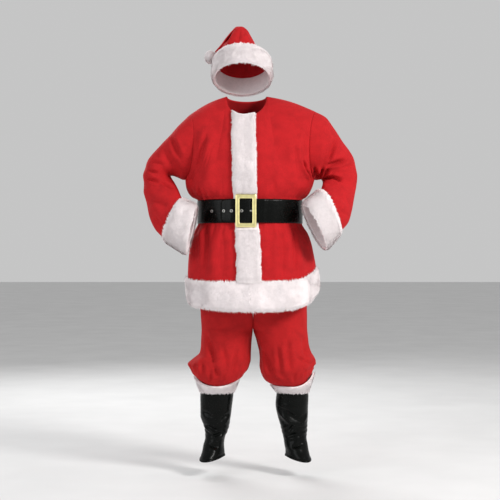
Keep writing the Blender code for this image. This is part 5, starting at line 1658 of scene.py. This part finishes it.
def leg_relief(side, points, normals):
    """Folds by degrees round the leg from its front, towards the wearer's left, and its small creases."""
    z = points[..., 2]
    outer, inner = (read(LEG_COLUMNS, LEGS[side], edge, z) for edge in ("outer", "inner"))
    middle = (outer + inner) / 2
    angle = np.degrees(np.arctan2(points[..., 0] - middle, -points[..., 1]))
    fade = np.clip((z - LEG_MOUTH) / 0.03, 0, 1)
    low = fade * np.clip((CROTCH_Z + 0.03 - z) / 0.05, 0, 1)
    total = fold_height(LEG_FOLDS[side], angle, z) * low
    total += line_relief(points, normals, -1, LEG_LINES[side]) * fade
    total += line_relief(points, normals, 1, LEG_BACK_LINES[side]) * fade
    turn = np.radians(angle)
    pleats = gathers(turn, ((13, 1.0, side), (21, 0.8, 2 * side), (34, 0.6, 1.1)))
    over_rim = z - BOOT_PLUSH_STARTS - rim_height(side, np.sin(turn) * side, np.cos(turn))
    near_rim = np.clip(over_rim / 0.02, 0, 1) * bell(over_rim, LEG_PLEAT_REACH)
    total += LEG_PLEAT_HEIGHT * pleats * near_rim
    near_waist = np.clip((0.99 - z) / 0.08, 0, 1)
    return total + soft_unevenness(points, LEG_UNEVEN) * fade * near_waist


def make_trousers():
    u = np.linspace(0, 1, LEG_PANEL_COLUMNS + 1)
    for side, wearer in SIDES:
        panels = []
        for face in (-1, 1):
            rows = [leg_row(side, face, row[0], u) for row in LEGS[side]]
            rows += [seat_row(side, face, z, u) for z in SEAT_ROWS]
            rows.append(waist_row(side, face, WAIST_START, u))
            rows = np.array(rows)
            panels.append(rows[:, ::-1] if side * face > 0 else rows)
        both = refine_rows(np.concatenate(panels, axis=1), LEG_ROWS)[0]
        grids = [both[:, : len(u)], both[:, len(u) :]]
        normals = share_normals(grids, [grid_normals(grid, False) for grid in grids])
        for grid, normal, place in zip(grids, normals, ("front", "back")):
            normal[-1, :, 2] = 0.0
            normal[-1] = unit(normal[-1])
            points = grid + normal * leg_relief(side, grid, normal)[..., None]
            name = f"trouser_{place}_{wearer}"
            flannel_piece(name, points, normal, False, EVERY_EDGE, "trouser_flannel")


def make_waistband():
    """The gathered band that holds elastic, under the belt."""
    u = np.linspace(0, 1, LEG_PANEL_COLUMNS + 1)
    rings = []
    for z in np.linspace(WAIST_START, WAIST_START + WAISTBAND_HEIGHT, WAISTBAND_ROWS):
        quarters = (
            waist_row(-1, -1, z, u)[::-1],
            waist_row(1, -1, z, u)[1:],
            waist_row(1, 1, z, u)[::-1][1:],
            waist_row(-1, 1, z, u)[1:-1],
        )
        rings.append(np.concatenate(quarters) + np.array((0.0, 0.0, SEAM_GAP)))
    rings = np.array(rings)
    normals = grid_normals(rings, True)
    count = rings.shape[1]
    waist_gathers = bpy.context.scene.santa_suit.waist_gathers
    waves = np.sin(np.arange(count) * 2 * math.pi * waist_gathers / count)[None, :]
    up = np.sin(np.linspace(0, math.pi, len(rings)))[:, None]
    outer = rings - normals * (WAIST_GATHER_HEIGHT * (1 + waves) * up)[..., None]
    inner = outer - normals * WAISTBAND_THICKNESS
    piece = shell("trouser_waistband", outer, inner, True, material_of("trouser_flannel"))
    declare(piece, "trouser_waistband")


# Boot tops

def boot_ring(side, z, sides, grow=0.0):
    values = row_at(BOOT_COLUMNS, BOOTS[side], z)
    turn = once_round(sides)
    middle = (values["outer"] + values["inner"]) / 2
    half = abs(values["outer"] - values["inner"]) / 2 + grow
    reach_x, reach_y = -np.cos(turn), np.sin(turn)
    x = half * reach_x
    y = -(np.where(reach_y > 0, values["front"], values["back"]) + grow) * reach_y
    down = np.clip((TOE_OUT_STARTS - z) / (TOE_OUT_STARTS - BOOTS[side][-1][0]), 0, 1)
    yaw = side * TOE_OUT * down
    turned_x = x * math.cos(yaw) - y * math.sin(yaw)
    turned_y = x * math.sin(yaw) + y * math.cos(yaw)
    height = z - values["drop"] * np.clip(reach_y, 0, 1)
    places = (middle + turned_x, values["centre_y"] + turned_y, height)
    return joined(*places)


def make_boot_tops():
    for side, wearer in SIDES:
        heights = np.linspace(BOOTS[side][-1][0], BOOTS[side][0][0], BOOT_ROWS)
        rings = np.array([boot_ring(side, z, BOOT_SIDES) for z in heights])
        normals = grid_normals(rings, True)
        relief = line_relief(rings, normals, -1, BOOT_LINES[side])
        relief += soft_unevenness(rings, BOOT_UNEVEN)
        around = once_round(BOOT_SIDES)[None, :]
        relief -= BACK_SEAM_DEPTH * bell(around - 1.5 * math.pi, BACK_SEAM_WIDTH)
        wrinkles = np.sin(rings[..., 2] * ANKLE_WRINKLES + np.sin(around * 3 + side) * 1.6)
        relief += ANKLE_WRINKLE * bell(rings[..., 2] - ANKLE_HEIGHT, ANKLE_REACH) * wrinkles
        for place, width, depth in BOOT_FOOT_ROLL:
            relief += depth * bell(heights[:, None] - heights[0] - place, width)
        top_fade = np.clip((heights[-1] - heights[:, None]) / 0.02, 0, 1)
        rings = pull_back(rings + normals * (relief * top_fade)[..., None], True, ("bottom", "top"))
        thickness = bpy.context.scene.santa_suit.vinyl
        name = f"boot_top_{wearer}"
        piece = shell(name, rings, rings - normals * thickness, True, material_of("black_vinyl"))
        declare(piece, name)


def make_boot_plush():
    suit = bpy.context.scene.santa_suit
    rises, spreads, piles = (np.array(values) for values in zip(*BOOT_CUFF))
    for side, wearer in SIDES:
        top = BOOTS[side][0][0]
        at = np.linspace(0, rises[-1], BOOT_PLUSH_ROWS)
        turn = once_round(BOOT_SIDES)
        rim = rim_height(side, -side * np.cos(turn), np.sin(turn)) / RIM_LEVEL
        base, pile = [], []
        for rise in at:
            spread, deep = float(curve(rises, spreads, rise)), float(curve(rises, piles, rise))
            ring = boot_ring(side, top, BOOT_SIDES, spread - suit.vinyl)
            ring[:, 2] += rise * rim + SEAM_GAP
            base.append(ring)
            pile.append(np.full(BOOT_SIDES, deep))
        base, pile = np.array(base), np.array(pile)
        name = f"plush_boot_{wearer}"
        normals = grid_normals(base, True)
        backing, fur = plush_piece(name, base, normals, pile, True, 41 + side, (0, 0, -1))
        declare(backing, name)


# Hat

def hat_ring(height):
    """A ring round the tilted head opening, starting at the wearer's right and passing the front."""
    turn = once_round(HAT_SIDES)
    x, y = -HAT_HALF_WIDTH * np.cos(turn), -HAT_HALF_DEPTH * np.sin(turn)
    tilted_y = y * math.cos(HAT_TILT) + height * math.sin(HAT_TILT)
    tilted_z = -y * math.sin(HAT_TILT) + height * math.cos(HAT_TILT)
    return np.array(HAT_CENTRE) + np.stack((x, tilted_y, tilted_z), axis=-1)


def crown_rings(first):
    rings = [first]
    for right_x, right_z, left_x, left_z, centre_y, depth in CROWN:
        rings.append(ring_points((right_x, right_z), (left_x, left_z), centre_y, depth, HAT_SIDES))
    return np.array(rings)


@functools.lru_cache(maxsize=None)
def hat_grids():
    """The band's and the crown's points and normals, which share one seam."""
    places = np.linspace(0, 1, HAT_BAND_ROWS)
    low = -HAT_BAND_HEIGHT / 2
    base = np.array([hat_ring(low + HAT_BAND_HEIGHT * place) for place in places])
    crown, at = refine_rows(crown_rings(base[-1]), CROWN_ROWS)
    plain = [grid_normals(grid, True) for grid in (base, crown)]
    band_normals, crown_normals = share_normals([base, crown], plain)
    return base, band_normals, crown, crown_normals, at


def make_hat_crown():
    crown, normals, at = hat_grids()[2:]
    relief = line_relief(crown, normals, -1, HAT_LINES)
    relief += soft_unevenness(crown, CROWN_UNEVEN)
    turn = once_round(HAT_SIDES)[None, :]
    relief += CROWN_GATHER_HEIGHT * gathers(turn, CROWN_GATHERS) * bell(at[:, None] - 0.4, 0.5)
    size = np.linalg.norm(crown - crown.mean(axis=1, keepdims=True), axis=-1).mean(axis=1)[:, None]
    relief *= np.clip(at[:, None] / 0.25, 0, 1) * np.clip(size / 0.05, 0, 1)
    points = crown + normals * relief[..., None]
    flannel_piece("hat_crown", points, normals, True, ("bottom",), dip=CROWN_DIP)


def make_hat_band():
    base, normals = hat_grids()[:2]
    share = pile_share(np.linspace(0, 1, len(base)))[:, None]
    clumps = value_noise(base, HAT_CLUMP_SIZE, 7) - HAT_CLUMPS_SINK
    pile = HAT_PILE * share * (1 + HAT_CLUMPS * clumps)
    plush_on("hat_band", base, normals, True, pile, 51, (0, 0.3, -1))


def make_pompom():
    """A ball of tufts at the end of the hat's tail."""
    suit = bpy.context.scene.santa_suit
    ends = crown_rings(hat_grids()[0][-1])[-2:].mean(axis=1)
    along = unit(ends[1] - ends[0])
    centre = ends[1] + along * (POMPOM_RADIUS + LAID_ON)
    random = np.random.default_rng(61)
    form = bmesh.new()
    bmesh.ops.create_icosphere(form, subdivisions=4, radius=POMPOM_RADIUS * POMPOM_BALL)
    points = np.array([vert.co[:] for vert in form.verts])
    size, height = POMPOM_LUMPS
    lumps = value_noise(points, size, 61) * height
    points = centre + points + unit(points) * lumps[:, None]
    faces = [[vert.index for vert in face.verts] for face in form.faces]
    form.free()
    ball = mesh_piece("hat_pompom", points, faces, material_of("white_plush_backing"))
    out = unit(random.normal(size=(int(suit.tuft_density * POMPOM_AREA), 3)))
    toward_tip = -(out @ along)
    lengths = suit.tuft_length * POMPOM_TUFTS * np.clip((0.93 - toward_tip) / 0.2, 0.15, 1)
    comb = unit(np.cross(out, (0.3, 0.9, 0.2)))
    roots = centre + out * POMPOM_RADIUS * POMPOM_ROOTS
    tufts("hat_pompom_pile", roots, out, lengths, comb, 62, laid=POMPOM_LAID)
    declare(ball, "hat_pompom")


# Materials

@functools.lru_cache(maxsize=None)
def material_of(finish):
    return FINISHES[finish]()


def shader_of(name, colour, **sockets):
    """A new material with its colour and its even values set on the shader's own sockets."""
    material = bpy.data.materials.new(name)
    material.use_nodes = True
    material.diffuse_color = (*colour, 1.0)
    shader = material.node_tree.nodes["Principled BSDF"]
    shader.inputs["Base Color"].default_value = (*colour, 1.0)
    for socket, value in sockets.items():
        shader.inputs[socket.replace("_", " ")].default_value = value
    return material, material.node_tree, shader


def add_node(tree, kind, **sockets):
    """A node with even values or links on its sockets."""
    node = tree.nodes.new(f"ShaderNode{kind}")
    for socket, value in sockets.items():
        place = node.inputs[socket.replace("_", " ")]
        if isinstance(value, bpy.types.NodeSocket):
            tree.links.new(value, place)
        else:
            place.default_value = value
    return node


def noise_of(tree, place, scale, detail, roughness):
    node = add_node(tree, "TexNoise", Scale=scale, Detail=detail, Roughness=roughness, Vector=place)
    return node.outputs["Fac"]


def shade_between(tree, factor, stops):
    """Colours along a ramp, read by a factor."""
    node = add_node(tree, "ValToRGB", Fac=factor)
    first, last = node.color_ramp.elements
    first.position, first.color = stops[0][0], (*stops[0][1], 1)
    last.position, last.color = stops[-1][0], (*stops[-1][1], 1)
    for position, colour in stops[1:-1]:
        node.color_ramp.elements.new(position).color = (*colour, 1)
    return node.outputs["Color"]


def multiplied(tree, first, second):
    node = add_node(tree, "Mix")
    node.data_type, node.blend_type = "RGBA", "MULTIPLY"
    node.inputs["Factor"].default_value = 1.0
    tree.links.new(first, node.inputs["A"])
    tree.links.new(second, node.inputs["B"])
    return node.outputs["Result"]


def rough_between(tree, shader, factor, low, high):
    node = add_node(tree, "MapRange", Value=factor, To_Min=low, To_Max=high)
    tree.links.new(node.outputs["Result"], shader.inputs["Roughness"])


def bumps(tree, shader, heights):
    """Chains bump nodes: each height with its strength and its real depth."""
    normal = None
    for height, strength, depth in heights:
        node = add_node(tree, "Bump", Strength=strength, Distance=depth, Height=height)
        if normal is not None:
            tree.links.new(normal, node.inputs["Normal"])
        normal = node.outputs["Normal"]
    tree.links.new(normal, shader.inputs["Normal"])


def scaled(colour, factor):
    return tuple(min(channel * factor, 1.0) for channel in colour)


def tones(colour, stops):
    """Stops of a ramp that darken and lighten one colour."""
    return tuple((position, scaled(colour, factor)) for position, factor in stops)


def greys(*stops):
    return tuple((position, (level,) * 3) for position, level in stops)


def flannel_material(name, colour):
    """Brushed flannel: a short nap that mottles the colour and catches light at its edges."""
    material, tree, shader = shader_of(
        name, colour, Roughness=0.9, Specular_IOR_Level=0.18, Sheen_Weight=0.22, Sheen_Roughness=0.45
    )
    shader.inputs["Sheen Tint"].default_value = (*scaled(colour, 1.5), 1.0)
    place = add_node(tree, "TexCoord").outputs["Object"]
    mottle = noise_of(tree, place, 26, 3.0, 0.55)
    nap = noise_of(tree, place, 420, 3.0, 0.6)
    fibre = noise_of(tree, place, 1300, 2.0, 0.5)
    broad = shade_between(tree, mottle, tones(colour, ((0.3, 0.88), (0.52, 1.0), (0.75, 1.1))))
    fine = shade_between(tree, nap, greys((0.32, 0.80), (0.5, 0.98), (0.68, 1.12)))
    tree.links.new(multiplied(tree, broad, fine), shader.inputs["Base Color"])
    rough_between(tree, shader, nap, 0.82, 0.98)
    bumps(tree, shader, ((fibre, 0.25, 0.0004), (nap, 0.35, 0.0008), (mottle, 0.2, 0.002)))
    return material


def plush_material(name, colour, clump_tone_and_pile_shade):
    """Plush pile: near white, with random clump tones down to the given factor; the backing's lower factor
    is painted shade deep in the pile.
    """
    material, tree, shader = shader_of(
        name, colour, Roughness=1.0, Specular_IOR_Level=0.1, Sheen_Weight=0.35, Sheen_Roughness=0.6
    )
    shader.inputs["Sheen Tint"].default_value = (*scaled(colour, 1.15), 1.0)
    place = add_node(tree, "TexCoord").outputs["Object"]
    clumps = noise_of(tree, place, 85, 3.0, 0.6)
    hairs = noise_of(tree, place, 700, 2.0, 0.55)
    # Clump noise varies the tone at random; its darkest stop, lower on the backing, is painted shade down
    # in the pile.
    broad = shade_between(tree, clumps, tones(colour, ((0.3, clump_tone_and_pile_shade), (0.5, 1.0), (0.72, 1.05))))
    fine = shade_between(tree, hairs, greys((0.3, 0.96), (0.6, 1.0)))
    tree.links.new(multiplied(tree, broad, fine), shader.inputs["Base Color"])
    bumps(tree, shader, ((hairs, 0.25, 0.0005), (clumps, 0.1, 0.0015)))
    return material


def vinyl_material(name, colour):
    """Thin soft vinyl on a cloth back: satin, with a faint pressed grain and handling creases."""
    material, tree, shader = shader_of(name, colour, Roughness=0.28, Specular_IOR_Level=0.1)
    place = add_node(tree, "TexCoord").outputs["Object"]
    grain = add_node(tree, "TexVoronoi", Scale=620, Vector=place).outputs["Distance"]
    wrinkle = noise_of(tree, place, 34, 4.0, 0.55)
    scuff = noise_of(tree, place, 120, 3.0, 0.6)
    tone = shade_between(tree, wrinkle, tones(colour, ((0.3, 0.75), (0.55, 1.0), (0.8, 1.4))))
    tree.links.new(tone, shader.inputs["Base Color"])
    rough_between(tree, shader, scuff, 0.17, 0.36)
    bumps(tree, shader, ((grain, 0.18, 0.0002), (wrinkle, 0.4, 0.0022)))
    return material


def metal_material(name, colour, roughness, hammered):
    """Plated metal with fine wiping marks and slight waves in its face."""
    material, tree, shader = shader_of(name, colour, Metallic=1.0, Roughness=roughness)
    place = add_node(tree, "TexCoord").outputs["Object"]
    stretched = add_node(tree, "Mapping", Scale=(1.0, 1.0, 0.12), Vector=place).outputs["Vector"]
    marks = noise_of(tree, stretched, 900, 3.0, 0.6)
    waves = noise_of(tree, place, 60, 2.0, 0.5)
    tone = shade_between(tree, waves, tones(colour, ((0.3, 0.88), (0.55, 1.0), (0.75, 1.08))))
    tree.links.new(tone, shader.inputs["Base Color"])
    rough_between(tree, shader, marks, roughness * 0.75, roughness * 1.35)
    bumps(tree, shader, ((marks, 0.12, 0.0001), (waves, hammered, 0.0008)))
    return material


def floor_material():
    material, tree, shader = shader_of("pale_floor", (0.68,) * 3, Roughness=1.0, Specular_IOR_Level=0.05)
    grit = noise_of(tree, add_node(tree, "TexCoord").outputs["Object"], 3, 2.0, 0.5)
    tree.links.new(shade_between(tree, grit, greys((0.3, 0.66), (0.7, 0.70))), shader.inputs["Base Color"])
    return material


def colour_of(name):
    return tuple(getattr(bpy.context.scene.santa_suit, name))


FINISHES = {
    "red_flannel": lambda: flannel_material("red_flannel_nap", colour_of("red")),
    "trouser_flannel": lambda: flannel_material("trouser_flannel_nap", colour_of("trouser_red")),
    "white_plush": lambda: plush_material("white_plush_pile", colour_of("white"), 0.97),
    # The backing is a little darker than the tufts: painted shade down in the pile.
    "white_plush_backing": lambda: plush_material("white_plush_backing", colour_of("white"), 0.93),
    "black_vinyl": lambda: vinyl_material("black_vinyl_satin", colour_of("black")),
    "pale_brass": lambda: metal_material("pale_brass_plate", colour_of("brass"), 0.36, 0.2),
    "nickel": lambda: metal_material("nickel_plate", (0.42, 0.42, 0.40), 0.38, 0.1),
}


# Sizes and colours that a user would change

def length(name, description, default, low, high):
    return FloatProperty(
        name=name,
        description=description,
        default=default,
        min=low,
        max=high,
        subtype="DISTANCE",
        unit="LENGTH",
    )


def power_of(name, description, default):
    return FloatProperty(name=name, description=description, default=default, min=0.0, unit="POWER")


def paint(name, description, default):
    return FloatVectorProperty(
        name=name, description=description, default=default, min=0.0, max=1.0, size=3, subtype="COLOR"
    )


class SantaSuitSettings(bpy.types.PropertyGroup):
    """Sizes and colours of the suit's soft pieces."""

    flannel: length("Flannel", "Thickness of the brushed flannel", 0.0022, 0.001, 0.003)
    vinyl: length("Vinyl", "Thickness of the boot tops' vinyl", 0.0016, 0.001, 0.003)
    pile: length("Plush pile", "Height of the plush over its backing", 0.016, 0.004, 0.02)
    tuft_length: length("Tuft length", "Length of one tuft of pile", 0.0095, 0.003, 0.02)
    tuft_density: IntProperty(
        name="Tuft density",
        description="Tufts of pile on a square metre",
        default=240000,
        min=20000,
        max=300000,
    )
    band_width: length("Front band", "Width of the plush down the front", 0.104, 0.05, 0.12)
    waist_gathers: IntProperty(
        name="Waist gathers", description="Gathers round the elastic waistband", default=90, min=20, max=160
    )
    red: paint("Jacket red", "Colour of the jacket's and the hat's flannel", (0.44, 0.0105, 0.0135))
    trouser_red: paint("Trouser red", "Colour of the trousers' flannel", (0.415, 0.0112, 0.0126))
    # The plush is near white; its pink tint is painted reflection of the red flannel.
    white: paint("Plush", "Colour of the plush", (0.865, 0.800, 0.805))
    black: paint("Vinyl", "Colour of the belt and the boot tops", (0.0026, 0.0031, 0.0027))
    brass: paint("Buckle", "Colour of the buckle's plating", (0.95, 0.86, 0.41))


class SantaSuitStageSettings(bpy.types.PropertyGroup):
    """The camera and the lights round the suit."""

    distance: length("Camera distance", "From the camera to the suit's middle", 5.0, 2.0, 12.0)
    height: length("Camera height", "Height of the camera above the floor", 0.9184, 0.2, 3.0)
    lens: FloatProperty(
        name="Lens",
        description="Focal length of the camera",
        default=87.8,
        min=20.0,
        max=200.0,
        subtype="DISTANCE_CAMERA",
        unit="CAMERA",
    )
    key: power_of("Key light", "Power of the main light", 196.0)
    fill: power_of("Fill light", "Power of the fill light", 42.0)
    rim: power_of("Rim light", "Power of the light behind", 95.0)
    sky: FloatProperty(
        name="Surroundings", description="Brightness of the pale room", default=0.56, min=0.0, max=4.0
    )


# Stage

# The lights, by the setting that gives their power: place, size, colour
LIGHTS = {
    "key": ((3.3, -2.9, 1.7), 1.3, (1.0, 0.985, 0.97)),
    "fill": ((-2.8, -2.6, 0.5), 2.6, (0.96, 0.98, 1.0)),
    "rim": ((-1.2, 3.2, 1.6), 2.4, (1.0, 1.0, 1.0)),
}
LIT_MIDDLE = Vector((0.0, 0.0, -0.45))
FLOOR_CORNERS = ((-30, -30, 0), (30, -30, 0), (30, 30, 0), (-30, 30, 0))


def make_stage(stage):
    scene = bpy.context.scene
    mesh_piece("stage_floor", FLOOR_CORNERS, [(0, 1, 2, 3)], floor_material())
    world = bpy.data.worlds.new("pale_room")
    world.use_nodes = True
    background = world.node_tree.nodes["Background"]
    background.inputs["Color"].default_value = (1.0, 1.0, 1.0, 1.0)
    background.inputs["Strength"].default_value = stage.sky
    scene.world = world
    for setting, (place, size, colour) in LIGHTS.items():
        light = bpy.data.lights.new(f"{setting}_light", "AREA")
        light.shape, light.size, light.color = "DISK", size, colour
        light.energy = getattr(stage, setting)
        lamp = bpy.data.objects.new(light.name, light)
        lamp.location = place
        lamp.rotation_euler = (LIT_MIDDLE - Vector(place)).to_track_quat("-Z", "Y").to_euler()
        scene.collection.objects.link(lamp)
    camera = bpy.data.objects.new("camera", bpy.data.cameras.new("camera"))
    camera.data.sensor_width, camera.data.lens = 36.0, stage.lens
    camera.data.clip_end = 200.0
    camera.location = (0.0, -stage.distance, stage.height - SHOULDER_HEIGHT)
    camera.rotation_euler = (math.pi / 2, 0.0, 0.0)
    scene.collection.objects.link(camera)
    scene.camera = camera
    scene.view_settings.view_transform = "Standard"


# Operators

class SANTA_SUIT_OT_jacket_body(bpy.types.Operator):
    """Makes the back and both fronts of the jacket."""

    bl_idname = "santa_suit.jacket_body"
    bl_label = "Jacket body"

    def execute(self, context):
        make_jacket_body()
        return {"FINISHED"}


class SANTA_SUIT_OT_sleeves(bpy.types.Operator):
    """Makes both sleeves with their creases."""

    bl_idname = "santa_suit.sleeves"
    bl_label = "Sleeves"

    def execute(self, context):
        make_sleeves()
        return {"FINISHED"}


class SANTA_SUIT_OT_hem_and_cuffs(bpy.types.Operator):
    """Makes the plush round the skirt and at both hands."""

    bl_idname = "santa_suit.hem_and_cuffs"
    bl_label = "Hem and cuffs"

    def execute(self, context):
        make_hem_and_cuffs()
        return {"FINISHED"}


class SANTA_SUIT_OT_front_band(bpy.types.Operator):
    """Makes the plush down the front edge."""

    bl_idname = "santa_suit.front_band"
    bl_label = "Front band"

    def execute(self, context):
        make_front_band()
        return {"FINISHED"}


class SANTA_SUIT_OT_belt(bpy.types.Operator):
    """Makes the vinyl strap."""

    bl_idname = "santa_suit.belt"
    bl_label = "Belt"

    def execute(self, context):
        make_belt()
        return {"FINISHED"}


class SANTA_SUIT_OT_eyelets(bpy.types.Operator):
    """Makes the rings round the strap's holes."""

    bl_idname = "santa_suit.eyelets"
    bl_label = "Eyelets"

    def execute(self, context):
        make_eyelets()
        return {"FINISHED"}


class SANTA_SUIT_OT_buckle(bpy.types.Operator):
    """Makes the buckle's frame and its stud."""

    bl_idname = "santa_suit.buckle"
    bl_label = "Buckle"

    def execute(self, context):
        make_buckle()
        make_stud()
        return {"FINISHED"}


class SANTA_SUIT_OT_trousers(bpy.types.Operator):
    """Makes both fronts and both backs of the trousers."""

    bl_idname = "santa_suit.trousers"
    bl_label = "Trousers"

    def execute(self, context):
        make_trousers()
        return {"FINISHED"}


class SANTA_SUIT_OT_waistband(bpy.types.Operator):
    """Makes the gathered waistband."""

    bl_idname = "santa_suit.waistband"
    bl_label = "Waistband"

    def execute(self, context):
        make_waistband()
        return {"FINISHED"}


class SANTA_SUIT_OT_boot_tops(bpy.types.Operator):
    """Makes the vinyl tubes over the shoes."""

    bl_idname = "santa_suit.boot_tops"
    bl_label = "Boot tops"

    def execute(self, context):
        make_boot_tops()
        return {"FINISHED"}


class SANTA_SUIT_OT_boot_plush(bpy.types.Operator):
    """Makes the plush round both boot tops."""

    bl_idname = "santa_suit.boot_plush"
    bl_label = "Boot plush"

    def execute(self, context):
        make_boot_plush()
        return {"FINISHED"}


class SANTA_SUIT_OT_hat_crown(bpy.types.Operator):
    """Makes the hat's bent crown."""

    bl_idname = "santa_suit.hat_crown"
    bl_label = "Hat crown"

    def execute(self, context):
        make_hat_crown()
        return {"FINISHED"}


class SANTA_SUIT_OT_hat_band(bpy.types.Operator):
    """Makes the hat's plush band."""

    bl_idname = "santa_suit.hat_band"
    bl_label = "Hat band"

    def execute(self, context):
        make_hat_band()
        return {"FINISHED"}


class SANTA_SUIT_OT_pompom(bpy.types.Operator):
    """Makes the ball of tufts on the hat's tail."""

    bl_idname = "santa_suit.pompom"
    bl_label = "Pompom"

    def execute(self, context):
        make_pompom()
        return {"FINISHED"}


class SANTA_SUIT_OT_stage(bpy.types.Operator):
    """Makes the floor, the lights and the camera."""

    bl_idname = "santa_suit.stage"
    bl_label = "Stage"

    def execute(self, context):
        make_stage(context.scene.santa_suit_stage)
        return {"FINISHED"}


class SANTA_SUIT_PT_panel(bpy.types.Panel):
    bl_label = "Santa suit"
    bl_space_type = "VIEW_3D"
    bl_region_type = "UI"
    bl_category = "Suit"

    def draw(self, context):
        for settings in (context.scene.santa_suit, context.scene.santa_suit_stage):
            for name in settings.bl_rna.properties.keys():
                if name not in ("rna_type", "name"):
                    self.layout.prop(settings, name)
        for operator in OPERATORS:
            self.layout.operator(operator.bl_idname)


OPERATORS = (
    SANTA_SUIT_OT_jacket_body,
    SANTA_SUIT_OT_sleeves,
    SANTA_SUIT_OT_hem_and_cuffs,
    SANTA_SUIT_OT_front_band,
    SANTA_SUIT_OT_belt,
    SANTA_SUIT_OT_eyelets,
    SANTA_SUIT_OT_buckle,
    SANTA_SUIT_OT_trousers,
    SANTA_SUIT_OT_waistband,
    SANTA_SUIT_OT_boot_tops,
    SANTA_SUIT_OT_boot_plush,
    SANTA_SUIT_OT_hat_crown,
    SANTA_SUIT_OT_hat_band,
    SANTA_SUIT_OT_pompom,
    SANTA_SUIT_OT_stage,
)
CLASSES = (SantaSuitSettings, SantaSuitStageSettings, *OPERATORS, SANTA_SUIT_PT_panel)


def register():
    for item in CLASSES:
        bpy.utils.register_class(item)
    bpy.types.Scene.santa_suit = PointerProperty(type=SantaSuitSettings)
    bpy.types.Scene.santa_suit_stage = PointerProperty(type=SantaSuitStageSettings)


def unregister():
    del bpy.types.Scene.santa_suit_stage
    del bpy.types.Scene.santa_suit
    for item in reversed(CLASSES):
        bpy.utils.unregister_class(item)


def main():
    register()
    for operator in OPERATORS:
        group, name = operator.bl_idname.split(".")
        getattr(getattr(bpy.ops, group), name)()


if __name__ == "__main__":
    main()
